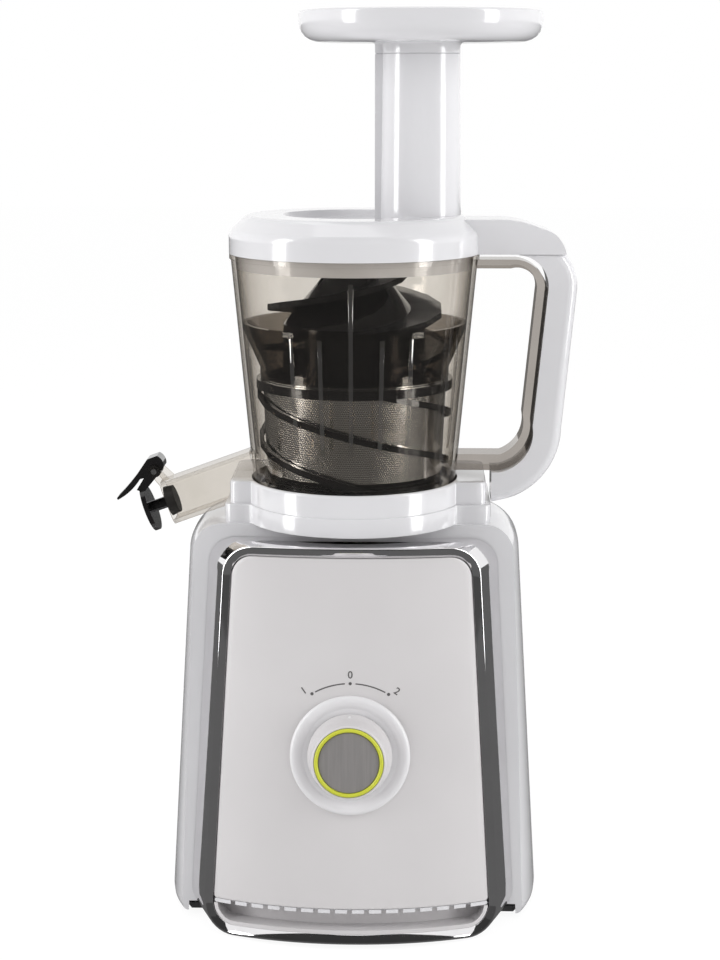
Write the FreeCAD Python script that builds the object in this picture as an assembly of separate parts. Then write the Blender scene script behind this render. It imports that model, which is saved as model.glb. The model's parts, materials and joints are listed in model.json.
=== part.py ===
import FreeCAD, Part
import math
import os

# A cold press juicer, in millimetres. Every piece is drawn about the drive axis, and the whole is moved
# by AXIS_X at the end, which puts the origin in the middle of its footprint, on the surface it stands on.
# +X points to the handle, -X to the juice spout, -Y to the control panel and +Z up.

V = FreeCAD.Vector
UP = V(0, 0, 1)
AXIS_X = 5.6

# Fits and clearances
GAP = 0.3                # between pieces that only lie against each other
MOVE_GAP = 0.6           # between pieces that pass each other
RUN_FIT = 0.08           # radial, between a pin or spindle and its bore
PRESS = 0.02             # radial, takes a pressed pin just clear of its hole
PANEL_GAP = 0.3          # round the front panel in its frame

# Base: a tapering body with a flat deck
BASE_BOTTOM = 3.0        # the feet lift it this much
DECK_Z = 212.0
BASE_HALF_WIDTH = 101.5
BASE_TAPER = 0.06        # half width lost per unit of height
BASE_CENTRE_Y = 8.0
BASE_FRONT = 101.0       # from the centre of the plan to its front, at the floor
BASE_REAR = 88.0
BASE_FRONT_LEAN = 0.13
BASE_REAR_LEAN = 0.06
BASE_SQUARENESS = 2.8    # exponent of the plan's superellipse
PLAN_POINTS = 16
SHOULDER = 15.0          # rounding between side and deck
SHOULDER_STEPS = 4
BASE_WALL = 2.8
FRONT_WALL = 2.2         # wall behind the chrome frame
FOOT_R = 9.0
FOOT_X = 62.0
FOOT_FRONT_Y, FOOT_REAR_Y = -34.0, 66.0
GLAND_R = 7.0
GLAND_Z = 34.0
CORD_R = 3.6

# Front: chrome frame, panel and air intake, on a leaning face that bows forward
FRONT_Y = -95.0          # middle of the face at the floor
FRONT_LEAN = math.degrees(math.atan(BASE_FRONT_LEAN))
FRONT_RADIUS = 142.0     # bow of the face
PANEL_HALF = 74.2        # half width at the floor
PANEL_TAPER = 0.0575
PANEL_BOTTOM = 21.0      # distances up the leaning face
PANEL_TOP = DECK_Z - 7.0
PANEL_CORNER = 11.0
PANEL_THICK = 2.2
PANEL_SINK = 2.6         # panel below the crest of the frame
FRAME_TOP = DECK_Z + 0.4
FRAME_BOTTOM = 2.2
FRAME_DEPTH = 42.0
FRAME_HALF = 88.2        # half width at the back edge, at the floor
FRAME_TAPER = 0.0525
FRAME_SLOPE = 0.46       # how the outer bevel opens with depth
FRAME_WALL = 2.4
FRAME_CORNER = 14.0
WINDOW_HALF = 66.0       # opening in the housing behind the panel
INTAKE_BOTTOM = 7.6
INTAKE_DEPTH = 15.0
INTAKE_WALL = 2.0
COMB_NOTCHES = 15
COMB_PITCH = 8.9
COMB_NOTCH = 2.6
COMB_THICK = 2.0

# Knob, on the panel
KNOB_S = 102.5           # height of its axis up the leaning face
DISH_R = 31.3
DISH_RISE = 3.0
KNOB_SKIRT_R = 22.0
KNOB_R = 19.0
KNOB_HEIGHT = 20.0
LIME_OUTER_R = KNOB_R - 1.6
LIME_INNER_R = LIME_OUTER_R - 1.8
SPINDLE_R = 3.0
SWITCH_HALF = 13.0

# Bowl
BOWL_BOTTOM = DECK_Z + 4.0
BOWL_HEIGHT = 138.6
BOWL_TOP = BOWL_BOTTOM + BOWL_HEIGHT
BOWL_TOP_R = 66.0
BOWL_TAPER = 0.0918      # radius lost per unit of height
BOWL_WALL = 2.4
BOWL_FLOOR = 3.0
BOWL_FLANGE = 2.4        # height of the rim under the lid
FUNNEL_TOP = BOWL_BOTTOM + 0.736 * BOWL_HEIGHT

# Neck: the socket that takes the bowl
NECK_TOP = DECK_Z + 22.0
NECK_TIER_Z = DECK_Z + 10.0
NECK_WING_Y = -20.0
NECK_LEFT = BOWL_TOP_R + 0.5
NECK_RIGHT = BOWL_TOP_R + 5.0
NECK_STEP = 2.6          # the lower tier stands proud of the upper one
NECK_BULGE = 3.3         # the round front stands this far from the bowl

# Lid and hopper
LID_R = BOWL_TOP_R + 0.7
LID_TOP = BOWL_TOP + 20.4
LID_WALL = 2.4
LID_ROUND = 9.0
TUBE_X = 34.6
TUBE_TOP_R = 21.0
TUBE_BOTTOM_R = 22.0
TUBE_WALL = 2.4
TUBE_TOP = LID_TOP + 83.0
LOBE_REACH = 23.6        # the flat lobe stands this far from the tube's axis
LOBE_WIDTH = 16.0
RECESS_R = 38.0
RECESS_DEPTH = 3.2
TRAY_R = 63.8
TRAY_BOTTOM = TUBE_TOP + 6.0
TRAY_TOP = TRAY_BOTTOM + 16.0
TRAY_WALL = 2.2
ARM_HALF = 14.0          # half the thickness of the handle and of the lid's arm
RIB_HALF = 9.0           # half the thickness of the handle's clear rib
COVER_LEFT = NECK_RIGHT + NECK_STEP + GAP

# Spouts and the juice spout's cap
SPOUT_SLOPE = 20.0
SPOUT_MOUTH = (-BOWL_TOP_R - 35.5, DECK_Z + 6.9)
SPOUT_HEIGHT = 24.0
SPOUT_WIDTH = 22.0
SPOUT_WALL = 2.2
SPOUT_ROUND = 5.0
PULP_SHORTER = 10.0      # the pulp chute's mouth stands this much nearer
JUICE_SIDE = 90.0        # turns a spout drawn towards +Y round to -X
PULP_SIDE = 0.0
PIN_X, PIN_Z = SPOUT_MOUTH[0] - 7.0, SPOUT_MOUTH[1] + 17.7
CAP_PIN_R = 1.5
EAR_Y = 6.3
EAR_THICK = 2.4

# Drive
HEX_FLATS = 12.0
SHAFT_R = HEX_FLATS / math.sqrt(3) + 0.07
HEX_GAP = 0.25
HEX_CORNER_R = (HEX_FLATS + 2 * HEX_GAP) / math.sqrt(3)
HEX_START = DECK_Z + 2.0
HEX_TOP = BOWL_BOTTOM + 46.0
HUB_BORE = HEX_CORNER_R + 2.4
HUB_R = HUB_BORE + 2.8
HUB_TOP = BOWL_BOTTOM + 10.4

# Gears at the bottom of the bowl
GEAR_MODULE = 2.0
SUN_TEETH = 22
PINION_TEETH = 11
RING_TEETH = 44
PRESSURE_ANGLE = 25.0
BACKLASH = 0.35
GEAR_BOTTOM = BOWL_BOTTOM + 4.6
GEAR_TOP = GEAR_BOTTOM + 7.4
PINION_STEP = 16         # of the places where the pinion meshes with sun and ring
PINION_ANGLE = 360.0 * PINION_STEP / (SUN_TEETH + RING_TEETH)
PINION_PIN_R = 3.0
SUN_BORE = HUB_R + 3.8

# Strainer and wiping brush
DRUM_LOW_Z = BOWL_BOTTOM + 22.0
DRUM_HIGH_Z = BOWL_BOTTOM + 0.527 * BOWL_HEIGHT
DRUM_LOW_ROOM = 8.0      # from the bowl's skin to the drum, for the brush
DRUM_HIGH_ROOM = 10.5
DRUM_WALL = 0.8
BRUSH_BAND = 3.4
BRUSH_ARMS = 3
BRUSH_TURNS = -0.72

# Auger
AUGER_FLOOR = GEAR_TOP + 1.0
AUGER_LOW_R = 40.0
AUGER_KNEE_Z = FUNNEL_TOP - 1.0
AUGER_KNEE_R = AUGER_LOW_R - 2.0
AUGER_NOSE_Z = BOWL_TOP - 5.6
AUGER_NOSE_R = 11.0
AUGER_PIN_R = 5.0
AUGER_PIN_TOP = AUGER_NOSE_Z + 15.0
AUGER_WALL = 3.4
FLIGHT_THICK = 3.2
FLIGHT_GAP = 0.8         # between flight and strainer
FLIGHT_TURNS = 2.4

# Inside the base
MOTOR_R = 43.0
MOTOR_LOW = 22.0
GEARBOX_R = 48.0
GEARBOX_HIGH = DECK_Z - 46.0
GEARBOX_FLANGE = 6.0
GEARBOX_NOSE = 12.0
MOTOR_HIGH = GEARBOX_HIGH - 54.0
SHAFT_BOTTOM = GEARBOX_HIGH - 26.0
PILLAR_R = 5.0
PILLAR_ANGLES = (-10, 55, 125, 190)


def cylinder(radius, low, high, x=0.0, y=0.0):
    return Part.makeCylinder(radius, high - low, V(x, y, low))


def ring(outer, inner, low, high, x=0.0, y=0.0):
    return cylinder(outer, low, high, x, y).cut(cylinder(inner, low - 1, high + 1, x, y))


def block(x0, x1, y0, y1, z0, z1):
    return Part.makeBox(x1 - x0, y1 - y0, z1 - z0, V(x0, y0, z0))


def revolved(points):
    """Solid of revolution about the Z axis from (radius, height) points."""
    corners = [V(r, 0, z) for r, z in points]
    return Part.Face(Part.makePolygon(corners + corners[:1])).revolve(V(0, 0, 0), UP, 360)


def fused(first, *rest):
    return first.fuse(list(rest)).removeSplitter()


def prism(points, low, high):
    """Upright prism on an (x, y) outline."""
    corners = [V(x, y, low) for x, y in points]
    return Part.Face(Part.makePolygon(corners + corners[:1])).extrude(V(0, 0, high - low))


def along_edges(shape, direction):
    """Straight edges of a shape that run along a direction."""
    return [edge for edge in shape.Edges
            if abs(edge.tangentAt(edge.FirstParameter).dot(direction)) > 0.99]


def side_outline(segments):
    """Closed wire in the XZ plane. A segment is (end,) for a line or (middle, end) for an arc."""
    edges = []
    start = segments[-1][-1]
    for segment in segments:
        p0, p1 = V(start[0], 0, start[1]), V(segment[-1][0], 0, segment[-1][1])
        if len(segment) == 1:
            edges.append(Part.LineSegment(p0, p1).toShape())
        else:
            middle = V(segment[0][0], 0, segment[0][1])
            edges.append(Part.Arc(p0, middle, p1).toShape())
        start = segment[-1]
    return Part.Wire(edges)


def side_plate(segments, y0, y1):
    wire = side_outline(segments)
    wire.translate(V(0, y0, 0))
    return Part.Face(wire).extrude(V(0, y1 - y0, 0))


def rounded_outline(half_low, half_high, low, high, r_low, r_high, depth):
    """Trapezoid with round corners in the leaning face's own frame."""
    corners = [(-half_low, low, r_low), (half_low, low, r_low), (half_high, high, r_high),
               (-half_high, high, r_high)]
    edges = []
    ends = []
    for i, (x, y, radius) in enumerate(corners):
        px, py = corners[i - 1][0], corners[i - 1][1]
        nx, ny = corners[(i + 1) % 4][0], corners[(i + 1) % 4][1]
        a = V(px - x, py - y, 0).normalize()
        b = V(nx - x, ny - y, 0).normalize()
        half = a.getAngle(b) / 2
        reach = radius / math.tan(half)
        corner = V(x, y, depth)
        bisector = (a + b).normalize()
        centre = corner + bisector * (radius / math.sin(half))
        ends.append((corner + a * reach, centre - bisector * radius, corner + b * reach))
    for i, (start, middle, end) in enumerate(ends):
        edges.append(Part.Arc(start, middle, end).toShape())
        following = ends[(i + 1) % 4][0]
        edges.append(Part.LineSegment(end, following).toShape())
    return Part.Wire(edges)


def lean(shape):
    """From the leaning face's frame (x, distance up the face, distance out) to the part's frame."""
    angle = math.radians(FRONT_LEAN)
    matrix = FreeCAD.Matrix(1, 0, 0, 0,
                            0, math.sin(angle), -math.cos(angle), FRONT_Y,
                            0, math.cos(angle), math.sin(angle), 0,
                            0, 0, 0, 1)
    return shape.transformed(matrix)


def bow(radius):
    """Cylinder whose skin is the bowed front, drawn in the leaning face's frame."""
    return Part.makeCylinder(radius, 1.5 * DECK_Z, V(0, -50, -FRONT_RADIUS), V(0, 1, 0))


def half_panel(s, extra=0.0):
    return PANEL_HALF - PANEL_TAPER * s + extra


def panel_cutter(extra, low, high, corner_low, corner_high):
    wire = rounded_outline(half_panel(low, extra), half_panel(high, extra), low, high,
                           corner_low, corner_high, -70)
    return Part.Face(wire).extrude(V(0, 0, 90))


def frame_body(inset):
    """Outer block of the frame, with its bevel opening towards the back."""
    front = 2.0
    slope = FRAME_SLOPE * (FRAME_DEPTH + front)
    top, low = FRAME_TOP - inset, FRAME_BOTTOM + inset
    half_low = FRAME_HALF - FRAME_TAPER * low - inset
    half_top = FRAME_HALF - FRAME_TAPER * top - inset
    back = rounded_outline(half_low, half_top, low, top + 14, FRAME_CORNER, FRAME_CORNER, -FRAME_DEPTH)
    face = rounded_outline(half_low - slope, half_top - slope, low + 1.5, top - 3.6,
                           FRAME_CORNER, FRAME_CORNER, front)
    taper = Part.makeLoft([back, face], True, True)
    limit = Part.makeBox(300, top + 20, 100, V(-150, -20, -FRAME_DEPTH - 1))
    return taper.common(limit)


def make_chrome_frame():
    outer = frame_body(0).common(bow(FRONT_RADIUS))
    hollow = frame_body(FRAME_WALL).common(bow(FRONT_RADIUS - FRAME_WALL - PANEL_SINK))
    hollow = hollow.cut(panel_cutter(PANEL_GAP + FRAME_WALL, INTAKE_BOTTOM - FRAME_WALL,
                                     PANEL_TOP + PANEL_GAP + FRAME_WALL, PANEL_CORNER, PANEL_CORNER))
    opening = panel_cutter(PANEL_GAP, INTAKE_BOTTOM, PANEL_TOP + PANEL_GAP, PANEL_CORNER, PANEL_CORNER)
    level = block(-150, 150, -150, 0, BASE_BOTTOM - 0.5, DECK_Z - 1)
    return lean(outer.cut(opening).cut(hollow)).common(level)


def make_front_panel():
    plate = bow(FRONT_RADIUS - PANEL_SINK).cut(bow(FRONT_RADIUS - PANEL_SINK - PANEL_THICK))
    outline = panel_cutter(0, PANEL_BOTTOM, PANEL_TOP, 2.0, PANEL_CORNER)
    hole = Part.makeCylinder(SPINDLE_R + 2, 60, V(0, KNOB_S, -40))
    return lean(plate.common(outline).cut(hole))


def make_vent_comb():
    face_r = FRONT_RADIUS - PANEL_SINK
    low = PANEL_BOTTOM - COMB_THICK - GAP
    slab = panel_cutter(-0.5, low, PANEL_BOTTOM - GAP, 0.9, 0.9)
    comb = slab.common(bow(face_r - 0.5)).cut(bow(face_r - INTAKE_DEPTH + 4))
    for i in range(COMB_NOTCHES):
        x = (i - (COMB_NOTCHES - 1) / 2) * COMB_PITCH
        depth = -FRONT_RADIUS + math.sqrt(face_r ** 2 - x ** 2)
        corner = V(x - COMB_NOTCH / 2, low - 1, depth - 6.2)
        notch = Part.makeBox(COMB_NOTCH, COMB_THICK + 2, 12, corner)
        comb = comb.cut(notch)
    return lean(comb)


def make_intake_scoop():
    face_r = FRONT_RADIUS - FRAME_WALL
    top = PANEL_BOTTOM - COMB_THICK - 2 * GAP
    outer = panel_cutter(-GAP, INTAKE_BOTTOM + GAP, PANEL_TOP, PANEL_CORNER, PANEL_CORNER)
    outer = outer.common(Part.makeBox(300, top + 50, 200, V(-150, -50, -100)))
    inner = panel_cutter(-GAP - INTAKE_WALL, INTAKE_BOTTOM + GAP + INTAKE_WALL, PANEL_TOP,
                         PANEL_CORNER - INTAKE_WALL, PANEL_CORNER)
    tray = outer.common(bow(face_r)).cut(bow(face_r - INTAKE_DEPTH))
    return lean(tray.cut(inner.cut(bow(face_r - INTAKE_DEPTH + INTAKE_WALL))))


def superellipse(z, shrink, rounding=0.0):
    """Plan of the base at a height, drawn in by shrink, and by the shoulder's rounding but at the front."""
    half = BASE_HALF_WIDTH - BASE_TAPER * z - shrink - rounding
    front = BASE_FRONT - BASE_FRONT_LEAN * z - shrink - rounding / 4
    rear = BASE_REAR - BASE_REAR_LEAN * z - shrink - rounding
    points = []
    power = 2 / BASE_SQUARENESS
    for i in range(PLAN_POINTS):
        t = 2 * math.pi * i / PLAN_POINTS
        c, s = math.cos(t), math.sin(t)
        x = half * math.copysign(abs(c) ** power, c)
        y = (rear if s > 0 else front) * math.copysign(abs(s) ** power, s)
        points.append(V(x, BASE_CENTRE_Y + y, z))
    curve = Part.BSplineCurve()
    curve.interpolate(Points=points, PeriodicFlag=True)
    return Part.Wire([curve.toShape()])


def base_form(shrink, low, high):
    """The base's smooth body from low to high, with the shoulder rounded under the deck."""
    straight = DECK_Z - SHOULDER
    sections = [superellipse(low, shrink + 2.0), superellipse(low + 4, shrink),
                superellipse(straight, shrink)]
    end_angle = math.radians(84)
    for i in range(1, SHOULDER_STEPS + 1):
        angle = end_angle * i / SHOULDER_STEPS
        z = straight + (high - straight) * math.sin(angle) / math.sin(end_angle)
        sections.append(superellipse(z, shrink, SHOULDER * (1 - math.cos(angle))))
    return Part.makeLoft(sections, True, True)


def neck_plan(tier, low, high):
    """Neck block: flat wings beside a round front, drawn with the tier's extra width."""
    wings = block(-NECK_LEFT - tier, NECK_RIGHT + tier, NECK_WING_Y - tier, 44 + min(tier, 0), low, high)
    wings = wings.makeFillet(5.0 + min(tier, 0), along_edges(wings, UP))
    return fused(wings, cylinder(bowl_radius(NECK_TOP) + NECK_BULGE + tier / 2, low, high))


def bowl_radius(z):
    return BOWL_TOP_R - BOWL_TAPER * (BOWL_TOP - z)


def spout_bar(inset, reach, azimuth, back=52.0):
    """Sloping bar along a spout's axis, from inside the bowl to reach past the mouth."""
    mouth_x, mouth_z = SPOUT_MOUTH
    width, height = SPOUT_WIDTH - 2 * inset, SPOUT_HEIGHT - 2 * inset
    outline = Part.makeBox(width, back + reach, height, V(-width / 2, -back, -height / 2))
    bar = outline.makeFillet(SPOUT_ROUND - max(inset, 0), along_edges(outline, V(0, 1, 0)))
    bar.rotate(V(0, 0, 0), V(1, 0, 0), -SPOUT_SLOPE)
    bar.translate(V(0, -mouth_x, mouth_z))
    bar.rotate(V(0, 0, 0), UP, azimuth)
    return bar


def spout_ways(pieces):
    """Room to lift both spouts out, taken from a piece of the base."""
    for azimuth in (JUICE_SIDE, PULP_SIDE):
        way = spout_bar(-MOVE_GAP, 30, azimuth)
        pieces = pieces.cut(way.fuse([way.translated(V(0, 0, lift)) for lift in (12, 24, 36)]))
    return pieces


def make_housing():
    outer = base_form(0, BASE_BOTTOM, DECK_Z)
    inner = base_form(BASE_WALL, BASE_BOTTOM - 1, DECK_Z - BASE_WALL)
    face_box = V(-150, -60, -FRAME_DEPTH - GAP)
    below_frame = Part.makeBox(300, FRAME_TOP + 60, 200, face_box)
    keep = Part.makeBox(300, FRAME_TOP - BASE_WALL + 60, 60, face_box - V(0, 0, FRONT_WALL))
    shell = outer.cut(lean(below_frame)).cut(inner.cut(lean(keep)))
    window = Part.makeBox(2 * WINDOW_HALF, DECK_Z - 42, 40, V(-WINDOW_HALF, 24, -FRAME_DEPTH - 20))
    shell = shell.cut(lean(window)).cut(cylinder(SHAFT_R + 6, DECK_Z - 20, NECK_TOP))
    gland = Part.makeCylinder(GLAND_R, 40, V(0, 70, GLAND_Z), V(0, 1, 0))
    return spout_ways(shell.cut(gland)).removeSplitter()


def make_neck():
    socket_r = bowl_radius(NECK_TOP) + MOVE_GAP
    seat = BOWL_BOTTOM - GAP
    body = fused(neck_plan(NECK_STEP, DECK_Z, NECK_TIER_Z), neck_plan(0, DECK_Z, NECK_TOP))
    hollow = neck_plan(-BASE_WALL, DECK_Z - 1, NECK_TOP - BASE_WALL)
    hollow = hollow.cut(cylinder(socket_r + BASE_WALL, DECK_Z - 2, NECK_TOP))
    body = body.cut(hollow).cut(cylinder(socket_r, seat, NECK_TOP + 1))
    return spout_ways(body.cut(cylinder(SHAFT_R + 6, DECK_Z - 1, NECK_TOP))).removeSplitter()


def make_knob_dish():
    face = FRONT_RADIUS - PANEL_SINK
    profile = [(SPINDLE_R + 0.6, -1.2), (DISH_R - 1.2, -1.2), (DISH_R, 0.6), (DISH_R - 0.6, DISH_RISE - 0.4),
               (DISH_R - 2.2, DISH_RISE), (KNOB_SKIRT_R + 2.4, 1.2), (SPINDLE_R + 0.6, 1.2)]
    dish = revolved(profile)
    skirt = ring(DISH_R - 1.2, SPINDLE_R + 0.6, -8, -1.2)
    return on_panel(fused(dish, skirt)).cut(lean(bow(face + 0.05)))


def on_panel(shape):
    """Stand a shape drawn along Z on the panel's face at the knob's place."""
    shape = shape.copy()
    shape.translate(V(0, KNOB_S, -PANEL_SINK))
    return lean(shape)


def make_knob_grip():
    seat, crown = KNOB_HEIGHT - 2.4, KNOB_HEIGHT - 0.4
    grip = revolved([(SPINDLE_R + PRESS, DISH_RISE - 0.6), (KNOB_SKIRT_R, DISH_RISE - 0.6),
                     (KNOB_SKIRT_R, DISH_RISE + 1.0), (KNOB_R + 1.6, DISH_RISE + 5.0),
                     (KNOB_R + 0.2, crown - 0.6), (KNOB_R - 0.2, crown), (LIME_OUTER_R + PRESS, crown),
                     (LIME_OUTER_R + PRESS, seat), (SPINDLE_R + PRESS, seat)])
    mark = Part.makeBox(1.4, 5.0, 0.8, V(-0.7, KNOB_R + 0.6, 5.6))
    return on_panel(grip.cut(mark))


def make_knob_ring():
    low, high = KNOB_HEIGHT - 2.4, KNOB_HEIGHT + 0.6
    profile = [(LIME_INNER_R, low), (LIME_OUTER_R, low), (LIME_OUTER_R, high - 0.3),
               (LIME_OUTER_R - 0.4, high), (LIME_INNER_R + 0.3, high), (LIME_INNER_R, high - 0.3)]
    return on_panel(revolved(profile))


def make_knob_cap():
    return on_panel(cylinder(LIME_INNER_R - PRESS, KNOB_HEIGHT - 2.4, KNOB_HEIGHT - 0.2))


def make_knob_spindle():
    return on_panel(cylinder(SPINDLE_R, -16, KNOB_HEIGHT - 2.4))


def make_rotary_switch():
    body = Part.makeBox(2 * SWITCH_HALF, 2 * SWITCH_HALF, 16, V(-SWITCH_HALF, -SWITCH_HALF, -22))
    bush = cylinder(SPINDLE_R + 2.6, -22, -5.6)
    return on_panel(fused(body, bush).cut(cylinder(SPINDLE_R + RUN_FIT, -30, 0)))


def make_base_plate():
    low, high = BASE_BOTTOM, BASE_BOTTOM + 3
    plate = Part.Face(superellipse(low, BASE_WALL + GAP + 2)).extrude(V(0, 0, high - low))
    front = Part.makeBox(300, 60, 200, V(-150, -30, -FRAME_DEPTH - FRONT_WALL - 2 * GAP))
    plate = plate.cut(lean(front))
    return fused(plate, *[cylinder(3.6, high, high + 5, x, y) for x, y in foot_places()])


def foot_places():
    return [(x, y) for x in (-FOOT_X, FOOT_X) for y in (FOOT_FRONT_Y, FOOT_REAR_Y)]


def make_feet():
    foot = revolved([(0, 0), (FOOT_R - 1, 0), (FOOT_R, 1.0), (FOOT_R, BASE_BOTTOM), (0, BASE_BOTTOM)])
    return [foot.translated(V(x, y, 0)) for x, y in foot_places()]


def make_motor_can():
    return revolved([(0, MOTOR_LOW), (MOTOR_R - 8, MOTOR_LOW), (MOTOR_R, MOTOR_LOW + 8),
                     (MOTOR_R, MOTOR_HIGH), (0, MOTOR_HIGH)])


def make_motor_cradle():
    plate = BASE_BOTTOM + 3
    return revolved([(MOTOR_R - 14, plate), (MOTOR_R - 3, plate), (MOTOR_R - 3, MOTOR_LOW + 4.8),
                     (MOTOR_R - 5.4, MOTOR_LOW + 2.4), (MOTOR_R - 8, MOTOR_LOW - GAP),
                     (MOTOR_R - 14, MOTOR_LOW - GAP)])


def make_gearbox():
    case = cylinder(GEARBOX_R, MOTOR_HIGH, GEARBOX_HIGH - GEARBOX_FLANGE)
    flange = cylinder(GEARBOX_R + 8, GEARBOX_HIGH - GEARBOX_FLANGE, GEARBOX_HIGH)
    nose = cylinder(SHAFT_R + 6, GEARBOX_HIGH, GEARBOX_HIGH + GEARBOX_NOSE)
    return fused(case, flange, nose).cut(cylinder(SHAFT_R + RUN_FIT, SHAFT_BOTTOM - 1, GEARBOX_HIGH + 20))


def make_mount_pillars():
    reach = GEARBOX_R + 2
    return [cylinder(PILLAR_R, GEARBOX_HIGH, DECK_Z - BASE_WALL, reach * math.cos(a), reach * math.sin(a))
            for a in map(math.radians, PILLAR_ANGLES)]


def make_shaft_seal():
    bore = SHAFT_R + RUN_FIT
    top = BOWL_BOTTOM - GAP
    return fused(ring(SHAFT_R + 6, bore, DECK_Z - BASE_WALL, top),
                 ring(SHAFT_R + 9, bore, DECK_Z - BASE_WALL - 2.5, DECK_Z - BASE_WALL))


def hexagon(corner_r, low, high):
    return prism([(corner_r * math.cos(a), corner_r * math.sin(a))
                  for a in [math.radians(60 * i) for i in range(6)]], low, high)


def make_drive_shaft():
    corner_r = HEX_FLATS / math.sqrt(3)
    return fused(cylinder(SHAFT_R, SHAFT_BOTTOM, HEX_START), hexagon(corner_r, HEX_START, HEX_TOP))


def make_control_board():
    """Board on the inside of the rear wall."""
    wall_y = BASE_CENTRE_Y + BASE_REAR - BASE_REAR_LEAN * BASE_BOTTOM - BASE_WALL
    return block(-25, 25, wall_y - 9.2, wall_y - 7.6, 50, 106)


def make_cord_gland():
    wall_y = BASE_CENTRE_Y + BASE_REAR
    gland = Part.makeCylinder(GLAND_R - PRESS, 14, V(0, wall_y - 12, GLAND_Z), V(0, 1, 0))
    return gland.cut(Part.makeCylinder(CORD_R, 40, V(0, wall_y - 20, GLAND_Z), V(0, 1, 0)))


def make_interlock_switch():
    under_deck = DECK_Z - BASE_WALL
    return block(34, 56, 22, 34, under_deck - 14, under_deck)


def cone_between(low_r, high_r, low, high):
    return Part.makeCone(low_r, high_r, high - low, V(0, 0, low))


def bowl_wall(offset, low, high):
    """Taper of the bowl drawn in by offset."""
    return cone_between(bowl_radius(low) - offset, bowl_radius(high) - offset, low, high)


def spout_skin(azimuth, shorter=0.0):
    """Open tube of a spout, from the bowl's skin to its mouth."""
    tube = spout_bar(0, -shorter, azimuth).cut(spout_bar(SPOUT_WALL, 5, azimuth, back=54))
    return tube.cut(bowl_wall(0, BOWL_BOTTOM, BOWL_TOP))


def make_juice_bowl():
    outer = bowl_wall(0, BOWL_BOTTOM, BOWL_TOP)
    rim = cylinder(BOWL_TOP_R + 0.6, BOWL_TOP - BOWL_FLANGE, BOWL_TOP)
    bowl = fused(outer, rim).cut(bowl_wall(BOWL_WALL, BOWL_BOTTOM + BOWL_FLOOR, BOWL_TOP + 1))
    for azimuth in (JUICE_SIDE, PULP_SIDE):
        bowl = bowl.cut(spout_bar(SPOUT_WALL, 5, azimuth, back=54))
    bowl = bowl.cut(cylinder(HUB_BORE, BOWL_BOTTOM - 1, BOWL_TOP))
    hub = ring(HUB_R, HUB_BORE, BOWL_BOTTOM, HUB_TOP)
    pin_hole = cylinder(PINION_PIN_R, BOWL_BOTTOM + 1, BOWL_TOP, *pinion_centre())
    return bowl.fuse([hub]).cut(pin_hole).removeSplitter()


def make_juice_spout():
    root_x, tip_z = SPOUT_MOUTH[0], PIN_Z + 3.4
    outline = [((root_x - 2, PIN_Z - 10),), ((root_x + 8, PIN_Z - 10),), ((PIN_X + 3.2, PIN_Z + 1),),
               ((PIN_X, tip_z), (PIN_X - 3.4, PIN_Z))]
    ears = [side_plate(outline, y, y + EAR_THICK) for y in (-EAR_Y - EAR_THICK, EAR_Y)]
    bore = spout_bar(SPOUT_WALL, 5, JUICE_SIDE, back=54)
    hinge = Part.makeCylinder(CAP_PIN_R, 60, V(PIN_X, -30, PIN_Z), V(0, 1, 0))
    return spout_skin(JUICE_SIDE).fuse(ears).cut(bore).cut(hinge).removeSplitter()


def make_pulp_chute():
    return spout_skin(PULP_SIDE, PULP_SHORTER)


def grip_point(reach, height):
    """Point of the handle: outwards from the bowl's top radius, up from the neck or down from the rim."""
    return BOWL_TOP_R + reach, (BOWL_TOP if height <= 0 else NECK_TOP) + height


def make_handle_rib():
    """Clear loop round the finger gap, between bowl and handle cover."""
    low, arm = NECK_TOP + 4.7, BOWL_TOP - BOWL_FLANGE - GAP
    outer = [((BOWL_TOP_R - 8, arm),), ((BOWL_TOP_R + 20, arm),),
             (grip_point(31.2, -8.0), grip_point(36.3, -18.6)), (grip_point(29.3, 29.4),),
             (grip_point(24.3, 11.8), (BOWL_TOP_R + 11.8, low)), ((BOWL_TOP_R - 14, low),)]
    inner = [((BOWL_TOP_R - 8, arm - 4.7),), ((BOWL_TOP_R + 17, arm - 4.7),),
             (grip_point(26.8, -9.2), grip_point(30.7, -19.2)), (grip_point(24.4, 34.8),),
             (grip_point(21.0, 19.6), (BOWL_TOP_R + 12.5, low + 8.7)), ((BOWL_TOP_R - 14, low + 8.7),)]
    loop = side_plate(outer, -RIB_HALF, RIB_HALF).cut(side_plate(inner, -ARM_HALF, ARM_HALF))
    return loop.cut(bowl_wall(0, BOWL_BOTTOM, BOWL_TOP))


def make_handle_cover():
    top, foot = BOWL_TOP, NECK_TOP
    outline = [((BOWL_TOP_R + 45.5, top),), (grip_point(50.6, -8.6), grip_point(51.9, -19.2)),
               (grip_point(45.0, 28.0),), (grip_point(38.0, 5.4), (BOWL_TOP_R + 21.4, foot - 8.8)),
               ((COVER_LEFT, foot - 12.4),), ((COVER_LEFT, foot + 4.4),), ((BOWL_TOP_R + 11.8, foot + 4.4),),
               (grip_point(24.5, 11.6), grip_point(29.6, 29.4)), (grip_point(36.6, -18.6),),
               (grip_point(32.8, -6.0), (BOWL_TOP_R + 21, top))]
    cover = side_plate(outline, -ARM_HALF, ARM_HALF)
    outer_edges = [edge for edge in cover.Edges if abs(abs(edge.CenterOfMass.y) - ARM_HALF) < 0.01
                   and edge.CenterOfMass.x > BOWL_TOP_R + 37]
    return cover.makeFillet(5.0, outer_edges)


def pinion_centre():
    distance = GEAR_MODULE * (SUN_TEETH + PINION_TEETH) / 2
    a = math.radians(PINION_ANGLE)
    return distance * math.cos(a), distance * math.sin(a)


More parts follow.
